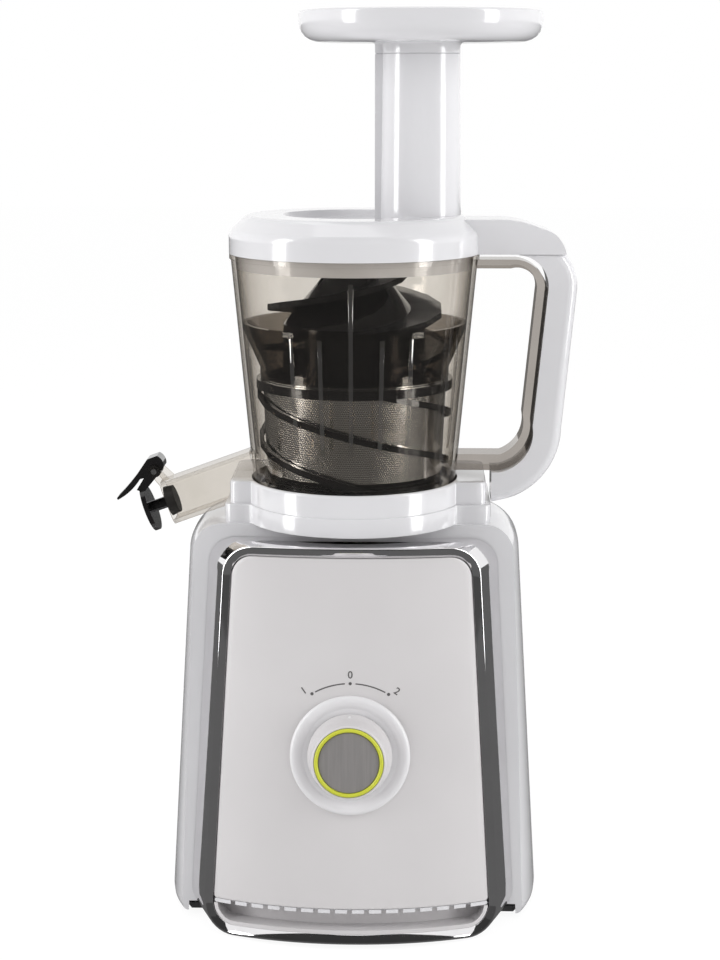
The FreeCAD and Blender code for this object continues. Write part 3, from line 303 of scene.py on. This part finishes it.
FINISH = {"white_plastic": WHITE, "chrome_trim": CHROME, "panel_silver": SILVER, "smoky_clear": SMOKY,
          "black_plastic": BLACK, "grey_plastic": GREY, "steel": STEEL, "rubber": RUBBER,
          "motor_steel": ENAMEL, "gearbox_alloy": GREY, "board": BOARD, "lime_plastic": LIME}
OWN_FINISH = {"handle_rib": SMOKY_DEEP, "strainer_frame": SMOKY_DARK, "intake_scoop": SILVER}
SLOT_OF = {part["node"]: part["material_slot"] for part in frame["record"]["subparts"]}
for node_name, node in nodes.items():
    node.data.materials.clear()
    node.data.materials.append(OWN_FINISH.get(node_name, FINISH[SLOT_OF[node_name]]))
    node.data.polygons.foreach_set("use_smooth", [True] * len(node.data.polygons))
    node.data.set_sharp_from_angle(angle=math.radians(28))


# Mesh tools

def add_piece(name, verts, faces, material, body, stands_for=(), sharp=30):
    """A smooth-shaded piece in the row frame that moves with its body and stands for CAD nodes."""
    mesh = bpy.data.meshes.new(name)
    mesh.from_pydata([tuple(v) for v in verts], [], faces)
    mesh.validate()
    bm = bmesh.new()
    bm.from_mesh(mesh)
    bmesh.ops.recalc_face_normals(bm, faces=bm.faces)
    bm.to_mesh(mesh)
    bm.free()
    mesh.polygons.foreach_set("use_smooth", [True] * len(mesh.polygons))
    mesh.set_sharp_from_angle(angle=math.radians(sharp))
    mesh.materials.append(material)
    piece = bpy.data.objects.new(name, mesh)
    scene.collection.objects.link(piece)
    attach(piece, body)
    if stands_for:
        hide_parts(*stands_for)


def loft(loops, closed=False, caps=True):
    """Vertices and faces of a skin over loops with the same number of points."""
    count = len(loops[0])
    verts = [point for loop in loops for point in loop]
    faces = []
    for i in range(len(loops) if closed else len(loops) - 1):
        a, b = i * count, ((i + 1) % len(loops)) * count
        faces += [(a + j, a + (j + 1) % count, b + (j + 1) % count, b + j) for j in range(count)]
    if caps and not closed:
        faces.append(tuple(reversed(range(count))))
        faces.append(tuple(range((len(loops) - 1) * count, len(loops) * count)))
    return verts, faces


def grid_faces(rows, columns, first=0):
    """Faces of a grid of points that are stored row by row from index first."""
    width = columns + 1
    return [(first + j * width + i, first + j * width + i + 1, first + (j + 1) * width + i + 1,
             first + (j + 1) * width + i) for j in range(rows) for i in range(columns)]


def full_turn(count):
    return [2 * math.pi * i / count for i in range(count)]


def arc(centre, radius, start, end, steps):
    """Points on an arc, by angles in degrees."""
    angles = [math.radians(start + (end - start) * i / steps) for i in range(steps + 1)]
    return [(centre[0] + radius * math.cos(a), centre[1] + radius * math.sin(a)) for a in angles]


def on_axis(x, y, z):
    """Millimetres about the drive axis to the row frame."""
    return Vector((AXIS_X + x * MM, y * MM, z * MM))


def on_face(x, s, d):
    """Millimetres on the leaning front (across, up the face, outwards) to the row frame."""
    return on_axis(x, FRONT_Y + s * math.sin(FRONT_LEAN) - d * math.cos(FRONT_LEAN),
                   s * math.cos(FRONT_LEAN) + d * math.sin(FRONT_LEAN))


def on_knob(x, y, h):
    """Millimetres about the knob's axis, with the height above the panel, to the row frame."""
    return on_face(x, KNOB_S + y, h - PANEL_SINK)


def bowed(x, sink=0.0):
    """Depth of the bowed front at x, sunk by so much."""
    return -FRONT_RADIUS + math.sqrt((FRONT_RADIUS - sink) ** 2 - x ** 2)


def polar_loop(reach_at, z, angles, centre_x=0.0):
    """Level loop whose distance from its centre depends on the direction."""
    return [on_axis(centre_x + reach_at(a) * math.cos(a), reach_at(a) * math.sin(a), z) for a in angles]


def turned(name, profile, place, material, body, stands_for=(), segments=128, closed=True, sharp=30):
    """Turned piece from (radius, height) points; place maps x, y and height to the row frame."""
    loops = [[place(r * math.cos(a), r * math.sin(a), h) for a in full_turn(segments)] for r, h in profile]
    verts, faces = loft(loops, closed=closed)
    add_piece(name, verts, faces, material, body, stands_for, sharp)


# Base

def base_plan(z, shrink=0.0, rounding=0.0):
    """Superellipse of the base at a height, drawn in by shrink and by the shoulder's rounding."""
    half = BASE_HALF_WIDTH - BASE_TAPER * z - shrink - rounding
    front = BASE_FRONT - BASE_FRONT_LEAN * z - shrink - rounding / 4
    rear = BASE_REAR - BASE_REAR_LEAN * z - shrink - rounding
    power = 2 / BASE_SQUARENESS
    loop = []
    for a in full_turn(160):
        c, s = math.cos(a), math.sin(a)
        x = half * math.copysign(abs(c) ** power, c)
        y = (rear if s > 0 else front) * math.copysign(abs(s) ** power, s)
        loop.append(on_axis(x, BASE_CENTRE_Y + y, z))
    return loop


def make_housing():
    """The base's shell, cut off behind the frame and filled there."""
    straight = DECK_Z - SHOULDER
    foot = [(5.0, BASE_WALL), (0.0, BASE_WALL), (0.0, 2.2), (0.6, 1.2), (2.0, 0.4), (4.5, 0.0)]
    loops = [base_plan(BASE_BOTTOM + rise, shrink) for rise, shrink in foot]
    side_low = BASE_BOTTOM + foot[-1][0]
    loops += [base_plan(side_low + (straight - side_low) * i / 8) for i in range(1, 9)]
    for i in range(1, SHOULDER_STEPS + 1):
        angle = math.radians(SHOULDER_TURN * i / SHOULDER_STEPS)
        z = straight + SHOULDER * math.sin(angle) / math.sin(math.radians(SHOULDER_TURN))
        loops.append(base_plan(z, 0.05, SHOULDER * (1 - math.cos(angle))))
    verts, faces = loft(loops)
    bm = bmesh.new()
    made = [bm.verts.new(v) for v in verts]
    for face in faces:
        bm.faces.new([made[i] for i in face])
    cut = bmesh.ops.bisect_plane(bm, geom=bm.verts[:] + bm.edges[:] + bm.faces[:],
                                 plane_co=on_face(0, 0, -FRAME_DEPTH - 0.35),
                                 plane_no=on_face(0, 0, 1) - on_face(0, 0, 0), clear_outer=True)
    bmesh.ops.edgeloop_fill(bm, edges=[e for e in cut["geom_cut"] if isinstance(e, bmesh.types.BMEdge)])
    bm.verts.index_update()
    verts = [v.co.copy() for v in bm.verts]
    faces = [tuple(v.index for v in f.verts) for f in bm.faces]
    bm.free()
    add_piece("base_shell", verts, faces, WHITE, "base", ["housing"], sharp=24)


def neck_reach(angle, tier):
    """How far the neck's outline stands from the axis: round-cornered wings joined with a round front."""
    left, right = -NECK_LEFT - tier, NECK_RIGHT + tier
    low, high = -NECK_FRONT - tier, NECK_REAR
    half_x, half_y = (right - left) / 2 - NECK_CORNER, (high - low) / 2 - NECK_CORNER
    near, far = 10.0, 120.0
    for _ in range(32):
        middle = (near + far) / 2
        x = abs(middle * math.cos(angle) - (left + right) / 2) - half_x
        y = abs(middle * math.sin(angle) - (low + high) / 2) - half_y
        outside = math.hypot(max(x, 0), max(y, 0)) + min(max(x, y), 0) > NECK_CORNER
        near, far = (near, middle) if outside else (middle, far)
    return max(near, NECK_BULGE_R + tier / 2)


def make_neck():
    angles = full_turn(360)

    def tier_loop(tier, z, inset=0.0):
        return polar_loop(lambda a: neck_reach(a, tier) - inset, z, angles)

    def hoop(radius, z):
        return polar_loop(lambda a: radius, z, angles)

    loops = [hoop(NECK_HOLE_R, DECK_Z), tier_loop(NECK_STEP, DECK_Z)]
    loops += [tier_loop(NECK_STEP, NECK_TIER_Z - drop, inset)
              for drop, inset in ((0.8, 0), (0.25, 0.25), (0, 0.8))]
    loops += [tier_loop(0, NECK_TIER_Z, -0.2), tier_loop(0, NECK_TIER_Z + 0.3)]
    for a in (0, 20, 40, 60, 80, 90):
        turn = math.radians(a)
        loops.append(tier_loop(0, NECK_TOP - NECK_EDGE + NECK_EDGE * math.sin(turn),
                               NECK_EDGE * (1 - math.cos(turn))))
    loops += [hoop(NECK_SOCKET_R + 0.7, NECK_TOP), hoop(NECK_SOCKET_R + 0.2, NECK_TOP - 0.3),
              hoop(NECK_SOCKET_R, NECK_TOP - 0.9), hoop(NECK_SOCKET_R, NECK_FLOOR_Z),
              hoop(NECK_HOLE_R, NECK_FLOOR_Z)]
    verts, faces = loft(loops, closed=True)
    add_piece("neck_collar", verts, faces, WHITE, "base", ["neck"], sharp=38)


# Front

def panel_half(s):
    return PANEL_HALF - PANEL_TAPER * s


def frame_loop(low, high, half_at, radius, depth_at):
    """Closed loop round a trapezoid with round corners on the leaning face, from its low left corner."""
    side_steps, corner_steps = 26, 10
    corners = []
    for sign, s, start in ((-1, low, 180), (1, low, 270), (1, high, 0), (-1, high, 90)):
        middle_s = s + radius if s == low else s - radius
        centre = (sign * (half_at(middle_s) - radius), middle_s)
        corners.append(arc(centre, radius, start, start + 90, corner_steps))
    points = []
    for k, corner in enumerate(corners):
        points += corner
        (x0, s0), (x1, s1) = corner[-1], corners[(k + 1) % 4][0]
        points += [(x0 + (x1 - x0) * i / side_steps, s0 + (s1 - s0) * i / side_steps)
                   for i in range(1, side_steps)]
    return [on_face(x, s, depth_at(x, s)) for x, s in points]


def make_chrome_frame():
    """Frame with a bevel down to the panel, a bright crest and a bevel back to the base."""
    def crest_ring(out, sink):
        return frame_loop(FRAME_OPENING_LOW - out, PANEL_TOP + out, lambda s: panel_half(s) + out,
                          PANEL_CORNER + out, lambda x, s: bowed(x, sink))

    def back_ring(rise):
        depth = rise - FRAME_DEPTH
        return frame_loop(FRAME_BACK_LOW, FRAME_BACK_TOP - FRAME_TOP_SLOPE * rise,
                          lambda s: FRAME_BACK_HALF - FRAME_BACK_TAPER * s - FRAME_SIDE_SLOPE * rise,
                          FRAME_BACK_CORNER, lambda x, s: min(depth, bowed(x, 0.6)))

    crest = [(0.3, 8.0), (0.3, PANEL_SINK - 0.1), (0.45, PANEL_SINK - 0.4), (3.8, 0.35), (4.15, 0.08),
             (4.5, 0.0), (4.9, 0.1), (5.2, 0.5)]
    loops = [crest_ring(out, sink) for out, sink in crest] + [back_ring(0.1), back_ring(0.0)]
    verts, faces = loft(loops, caps=False)
    add_piece("front_frame", verts, faces, CHROME, "base", ["chrome_frame"], sharp=50)


def panel_outline(s):
    """Half width of the panel, with the round upper corners and nearly square lower ones."""
    half = panel_half(s)
    for edge, radius in ((PANEL_TOP, PANEL_CORNER), (PANEL_BOTTOM, PANEL_FOOT_CORNER)):
        away = abs(s - edge)
        if away < radius:
            half -= radius - math.sqrt(max(0.0, radius ** 2 - (radius - away) ** 2))
    return half


def make_front_panel():
    """Bowed sheet whose edge rounds down to the frame, with a skirt behind its rim."""
    columns, rows = 72, 40
    fine = [0, 0.12, 0.35, 0.8, 1.6, 2.8, 4.4, 6.4, 8.8, PANEL_CORNER]
    span = PANEL_TOP - PANEL_BOTTOM - 2 * PANEL_CORNER
    heights = [PANEL_BOTTOM + v for v in fine]
    heights += [PANEL_BOTTOM + PANEL_CORNER + span * i / rows for i in range(1, rows)]
    heights += [PANEL_TOP - v for v in reversed(fine)]
    verts = []
    for s in heights:
        half = panel_outline(s)
        for i in range(columns + 1):
            share = 2 * i / columns - 1
            near = min(s - PANEL_BOTTOM, PANEL_TOP - s, half * (1 - abs(share)))
            drop = PANEL_DROP * max(0.0, 1 - near / PANEL_EDGE) ** 2
            verts.append(on_face(half * share, s, bowed(half * share, PANEL_SINK) - drop))
    last = len(heights) - 1
    width = columns + 1
    faces = grid_faces(last, columns)
    rim = list(range(width)) + [j * width + columns for j in range(1, last + 1)]
    rim += [last * width + i for i in range(columns - 1, -1, -1)]
    rim += [j * width for j in range(last - 1, 0, -1)]
    back = on_face(0, 0, -PANEL_THICK) - on_face(0, 0, 0)
    first = len(verts)
    verts += [verts[i] + back for i in rim]
    for k in range(len(rim)):
        n = (k + 1) % len(rim)
        faces.append((rim[k], rim[n], first + n, first + k))
    add_piece("front_panel_skin", verts, faces, SILVER, "base", ["front_panel"], sharp=40)


# Knob and the print round it, with profiles as (radius, height above the panel)

BEZEL_PROFILE = [(18, -0.6), (31.1, -0.6), (31.3, 0.4), (31.25, 1.2), (30.9, 2.0), (30.2, 2.6), (29.2, 2.9),
                 (28.0, 2.8), (26.4, 2.2), (25.4, 1.7), (24.9, 1.35), (24.4, 1.2), (18, 1.2)]
GRIP_PROFILE = [(5, 2.4), (21.9, 2.4), (22.0, 2.6), (22.0, 3.6), (21.8, 4.1), (20.8, 6.2), (20.2, 8.4),
                (19.6, 14.0), (19.3, 18.4), (19.1, 19.1), (18.6, 19.6), (18.1, 19.7), (17.9, 19.4),
                (17.9, 17.6), (5, 17.6)]
LIME_PROFILE = [(15.7, 17.6), (17.7, 17.6), (17.75, 19.6), (17.6, 20.1), (17.2, 20.4), (16.6, 20.5),
                (16.1, 20.3), (15.85, 19.9), (15.75, 19.4)]
DISC_PROFILE = [(0.01, 17.6), (15.6, 17.6), (15.6, 19.3), (15.4, 19.6), (15.0, 19.7), (8, 19.7),
                (0.01, 19.7)]
DOT_PROFILE = [(0.01, 0.1), (0.75, 0.1), (0.75, 0.35), (0.6, 0.5), (0.01, 0.5)]
DOT_PLACE = (20.95, 5.75)   # up the skirt of the knob, and above the panel
SKIRT_FACE = (0.9, 0.45)    # share of the dot's length that runs up, and inwards


def on_skirt(x, y, h):
    """Millimetres about the dot on the knob's sloping skirt to the row frame."""
    return on_knob(x, DOT_PLACE[0] + y * SKIRT_FACE[0], DOT_PLACE[1] + h - y * SKIRT_FACE[1])


def make_knob():
    turned("knob_bezel", BEZEL_PROFILE, on_knob, BEZEL, "base", ["knob_dish"], sharp=40)
    turned("knob_grip_body", GRIP_PROFILE, on_knob, SILVER, "knob", ["knob_grip"], sharp=40)
    turned("knob_lime", LIME_PROFILE, on_knob, LIME, "knob", ["knob_ring"], sharp=50)
    turned("knob_disc", DISC_PROFILE, on_knob, DISC_STEEL, "knob", ["knob_cap"], closed=False, sharp=40)
    turned("knob_dot", DOT_PROFILE, on_skirt, DOT_WHITE, "knob", segments=24, closed=False)


def on_panel(x, y):
    """A point just over the bowed panel, by its distances from the knob's axis."""
    return on_face(x, KNOB_S + y, bowed(x, PANEL_SINK) + PRINT_LIFT)


def dial_arc(verts, faces, sign):
    steps = 24
    first = len(verts)
    start, end = DIAL_ARC
    for i in range(steps + 1):
        a = math.radians(sign * (start + (end - start) * i / steps))
        verts += [on_panel(r * math.sin(a), r * math.cos(a))
                  for r in (DIAL_R - DIAL_LINE, DIAL_R + DIAL_LINE)]
    faces += grid_faces(steps, 1, first)


def dial_dot(verts, faces, angle):
    a = math.radians(angle)
    first, count = len(verts), 24
    verts += [on_panel(DIAL_R * math.sin(a) + DIAL_DOT_R * math.cos(t),
                       DIAL_R * math.cos(a) + DIAL_DOT_R * math.sin(t)) for t in full_turn(count)]
    faces.append(tuple(range(first, first + count)))


def dial_figure(verts, faces, text, angle, gap):
    """A plain figure outside the dial's arc, turned with it."""
    font = bpy.data.curves.new("figure", "FONT")
    font.body = text
    font.size = FIGURE_SIZE
    font.align_x = "CENTER"
    font.align_y = "CENTER"
    font.offset = 0.06
    figure = bpy.data.objects.new("figure", font)
    shape = figure.to_mesh()
    c, s, first = math.cos(math.radians(angle)), math.sin(math.radians(angle)), len(verts)
    reach = DIAL_R + gap
    verts += [on_panel(reach * s + v.co.x * c + v.co.y * s, reach * c - v.co.x * s + v.co.y * c)
              for v in shape.vertices]
    faces += [tuple(first + i for i in face.vertices) for face in shape.polygons]
    figure.to_mesh_clear()
    bpy.data.objects.remove(figure)
    bpy.data.curves.remove(font)


def make_dial_print():
    verts, faces = [], []
    for sign in (-1, 1):
        dial_arc(verts, faces, sign)
    for angle in (-DIAL_STOP, 0, DIAL_STOP):
        dial_dot(verts, faces, angle)
    for text, angle, gap in (("1", -36, 3.6), ("0", 0, 4.4), ("2", 36, 3.6)):
        dial_figure(verts, faces, text, angle, gap)
    add_piece("dial_print", verts, faces, INK, "base")


# Bowl, strainer and hopper

def bowl_radius(z):
    return BOWL_TOP_R - BOWL_TAPER * (BOWL_TOP - z)


def make_bowl_ribs():
    """Upright ribs on the outside of the clear bowl, rounded and fading in at both ends."""
    rows, across = 16, 8
    verts, faces = [], []
    for azimuth, high in ((0, 344), (-15, 315), (15, 315), (-30, 315), (30, 315), (-62, 315), (62, 315)):
        a = math.radians(azimuth - 90)
        out, side = Vector((math.cos(a), math.sin(a), 0)), Vector((-math.sin(a), math.cos(a), 0))
        first = len(verts)
        for i in range(rows + 1):
            z = RIB_LOW + (high - RIB_LOW) * i / rows
            rise = RIB_RISE * min(1.0, 4 * min(i, rows - i) / rows + 0.02)
            for j in range(across + 1):
                t = math.pi * j / across
                reach = bowl_radius(z) - RIB_ROOT + rise * math.sin(t)
                point = out * reach + side * (RIB_HALF * math.cos(t))
                verts.append(on_axis(point.x, point.y, z))
        faces += grid_faces(rows, across, first)
    add_piece("bowl_ribs", verts, faces, SMOKY_RIB, "bowl", sharp=80)


def make_drum():
    turned("strainer_mesh", [(47.3, 238.0), (49.48, 289.0), (48.7, 289.0), (46.5, 238.0)], on_axis,
           MESH_STEEL, "bowl", ["strainer_drum"], segments=160)


# The tray's dish as (distance in from the rim, height above its bottom), its lip with the distance below
# the top, and its collar as (inset from the feed tube's outline, height above the bottom)
TRAY_OUTSIDE = [(12, 0), (9, 0.3), (6, 1.3), (3.4, 2.9), (1.5, 5.2), (0.4, 7.8), (0, 9.6)]
TRAY_LIP = [(0, 1.4), (0.15, 0.7), (0.6, 0.2), (1.1, 0), (1.6, 0.2), (2.05, 0.7), (2.2, 1.4)]
TRAY_INSIDE = [(2.4, 9.4), (3.6, 6.2), (6.4, 3.6), (10, 2.4), (13, 2.2)]
COLLAR_OUTSIDE = [(2.4, -13.0), (2.2, -13.4), (0.5, -5.8), (0, -5.4), (0, -1.4), (-0.6, -0.4), (-1.6, 0)]
COLLAR_INSIDE = [(3.0, 2.2), (4.0, 1.6), (4.4, 0.4), (4.6, -13.0)]


def collar_reach(angle, inset):
    """Outline of the feed tube and its lobe about the tube's axis."""
    c, s = math.cos(angle), math.sin(angle)
    lobe = 0.0
    if c < 0:
        lobe = (LOBE_REACH - inset) / -c
        if abs(s) > 1e-6:
            lobe = min(lobe, (LOBE_HALF - inset) / abs(s))
    return max(TUBE_R - inset, lobe)


def make_tray():
    """Hopper tray: a round dish over a collar that follows the feed tube and its lobe."""
    angles = full_turn(240)

    def hoop(inset, z):
        return polar_loop(lambda a: TRAY_R - inset, z, angles, TUBE_X)

    def collar(inset, rise):
        return polar_loop(lambda a: collar_reach(a, inset), TRAY_BOTTOM + rise, angles, TUBE_X)

    loops = [collar(inset, rise) for inset, rise in COLLAR_OUTSIDE]
    loops += [hoop(inset, TRAY_BOTTOM + rise) for inset, rise in TRAY_OUTSIDE]
    loops += [hoop(inset, TRAY_TOP - drop) for inset, drop in TRAY_LIP]
    loops += [hoop(inset, TRAY_BOTTOM + rise) for inset, rise in TRAY_INSIDE]
    loops += [collar(inset, rise) for inset, rise in COLLAR_INSIDE]
    verts, faces = loft(loops, closed=True)
    add_piece("hopper_dish", verts, faces, WHITE, "tray", ["hopper_tray"], sharp=45)


make_housing()
make_neck()
make_chrome_frame()
make_front_panel()
make_knob()
make_dial_print()
make_bowl_ribs()
make_drum()
make_tray()


# Stage and light, in metres

WALL_R = 1.7
WALL_ANGLE = 62             # half the angle that the dark wall takes up, in degrees
WALL_TOP = 1.25
WALL_LIGHT, CEILING_LIGHT = 0.07, 0.04
FLOOR_HALF = 6.0
FLOOR_LIGHT = 1.08
FLOOR_GLOW = 0.85           # share of that light in what the camera sees of the floor
FLOOR_IN_REFLECTIONS = 0.12
ROOM_LIGHT = 0.56


def glowing(name, level):
    """Surface that gives an even light, for the walls that only reflections see."""
    mat = bpy.data.materials.new(name)
    mat.use_nodes = True
    tree = mat.node_tree
    tree.nodes.remove(tree.nodes["Principled BSDF"])
    glow = tree.nodes.new("ShaderNodeEmission")
    glow.inputs["Color"].default_value = (1, 1, 1, 1)
    glow.inputs["Strength"].default_value = level
    tree.links.new(glow.outputs[0], tree.nodes["Material Output"].inputs["Surface"])
    return mat


def surround(name, rings, level):
    """Part of the studio's front wall, seen only in reflections; rings are (radius, height)."""
    steps = 24
    verts = []
    for radius, z in rings:
        for i in range(steps + 1):
            a = math.radians(-WALL_ANGLE + 2 * WALL_ANGLE * i / steps)
            verts.append((radius * math.sin(a), -radius * math.cos(a), z))
    mesh = bpy.data.meshes.new(name)
    mesh.from_pydata(verts, [], grid_faces(len(rings) - 1, steps))
    mesh.materials.append(glowing(name + "_glow", level))
    wall = bpy.data.objects.new(name, mesh)
    scene.collection.objects.link(wall)
    wall.visible_camera = False
    wall.visible_diffuse = False
    wall.visible_transmission = False
    wall.visible_shadow = False


def plain_floor():
    """Pale floor that shows white to the camera, with the object's shadow on it."""
    mesh = bpy.data.meshes.new("floor")
    corners = [(-FLOOR_HALF, -FLOOR_HALF, 0), (FLOOR_HALF, -FLOOR_HALF, 0), (FLOOR_HALF, FLOOR_HALF, 0),
               (-FLOOR_HALF, FLOOR_HALF, 0)]
    mesh.from_pydata(corners, [], [(0, 1, 2, 3)])
    floor = bpy.data.objects.new("floor", mesh)
    scene.collection.objects.link(floor)
    mat, tree, shader = new_material("floor_paint")
    shader.inputs["Base Color"].default_value = (0.86, 0.86, 0.86, 1)
    shader.inputs["Roughness"].default_value = 0.9
    path = tree.nodes.new("ShaderNodeLightPath")
    glow = tree.nodes.new("ShaderNodeEmission")
    glow.inputs["Strength"].default_value = FLOOR_LIGHT
    dim = tree.nodes.new("ShaderNodeEmission")
    dim.inputs["Strength"].default_value = FLOOR_IN_REFLECTIONS
    seen = maths(tree, "MULTIPLY", path.outputs["Is Camera Ray"], FLOOR_GLOW)
    direct = mixed(tree, seen, shader.outputs[0], glow.outputs[0])
    surface = mixed(tree, path.outputs["Is Glossy Ray"], direct, dim.outputs[0])
    tree.links.new(surface, tree.nodes["Material Output"].inputs["Surface"])
    mesh.materials.append(mat)


def white_world():
    """White to the camera and in reflections, and a plain level of light elsewhere."""
    world = bpy.data.worlds.new("studio")
    world.use_nodes = True
    scene.world = world
    tree = world.node_tree
    plain = tree.nodes["Background"]
    plain.inputs["Color"].default_value = (1, 1, 1, 1)
    plain.inputs["Strength"].default_value = ROOM_LIGHT
    shown = tree.nodes.new("ShaderNodeBackground")
    shown.inputs["Color"].default_value = (1, 1, 1, 1)
    shown.inputs["Strength"].default_value = 1.0
    path = tree.nodes.new("ShaderNodeLightPath")
    seen = maths(tree, "MAXIMUM", path.outputs["Is Camera Ray"], path.outputs["Is Glossy Ray"])
    seen = maths(tree, "MAXIMUM", seen, path.outputs["Is Transmission Ray"])
    tree.links.new(mixed(tree, seen, plain.outputs[0], shown.outputs[0]),
                   tree.nodes["World Output"].inputs["Surface"])


def softbox(name, place, target, width, height, power):
    """Rectangular lamp that faces a target."""
    light = bpy.data.lights.new(name, "AREA")
    light.shape = "RECTANGLE"
    light.size, light.size_y = width, height
    light.energy = power
    lamp = bpy.data.objects.new(name, light)
    scene.collection.objects.link(lamp)
    lamp.location = place
    lamp.rotation_euler = (Vector(target) - Vector(place)).to_track_quat("-Z", "Y").to_euler()


plain_floor()
surround("front_wall", [(WALL_R, -0.2), (WALL_R, WALL_TOP)], WALL_LIGHT)
surround("front_ceiling", [(WALL_R, WALL_TOP), (1.1, 1.8), (0.45, 2.1)], CEILING_LIGHT)
white_world()
for side, name in ((-1, "left_strip"), (1, "right_strip")):
    softbox(name, (side * 1.30, -0.52, 0.50), (0, 0, 0.20), 0.35, 1.6, 12)
softbox("top_box", (0.0, 0.3, 1.6), (0, 0, 0.2), 1.0, 1.0, 3)


# Camera, matched to the photograph

CAMERA_DISTANCE = 1066 * MM
CAMERA_HEIGHT = 446 * MM
CAMERA_PITCH = math.radians(11.4)
CAMERA_TURN = math.radians(1.6)
CAMERA_ASIDE = AXIS_X + 3 * MM
FOCAL_PIXELS = 1996
PHOTO_HEIGHT = 960          # pixels
SENSOR = 36
camera = bpy.data.objects.new("camera", bpy.data.cameras.new("camera"))
scene.collection.objects.link(camera)
camera.data.sensor_width = SENSOR
camera.data.lens = FOCAL_PIXELS * SENSOR / PHOTO_HEIGHT
camera.location = (CAMERA_ASIDE + CAMERA_DISTANCE * math.sin(CAMERA_TURN),
                   -CAMERA_DISTANCE * math.cos(CAMERA_TURN), CAMERA_HEIGHT)
camera.rotation_euler = (math.pi / 2 - CAMERA_PITCH, 0, CAMERA_TURN)
scene.camera = camera
scene.view_settings.view_transform = "Standard"
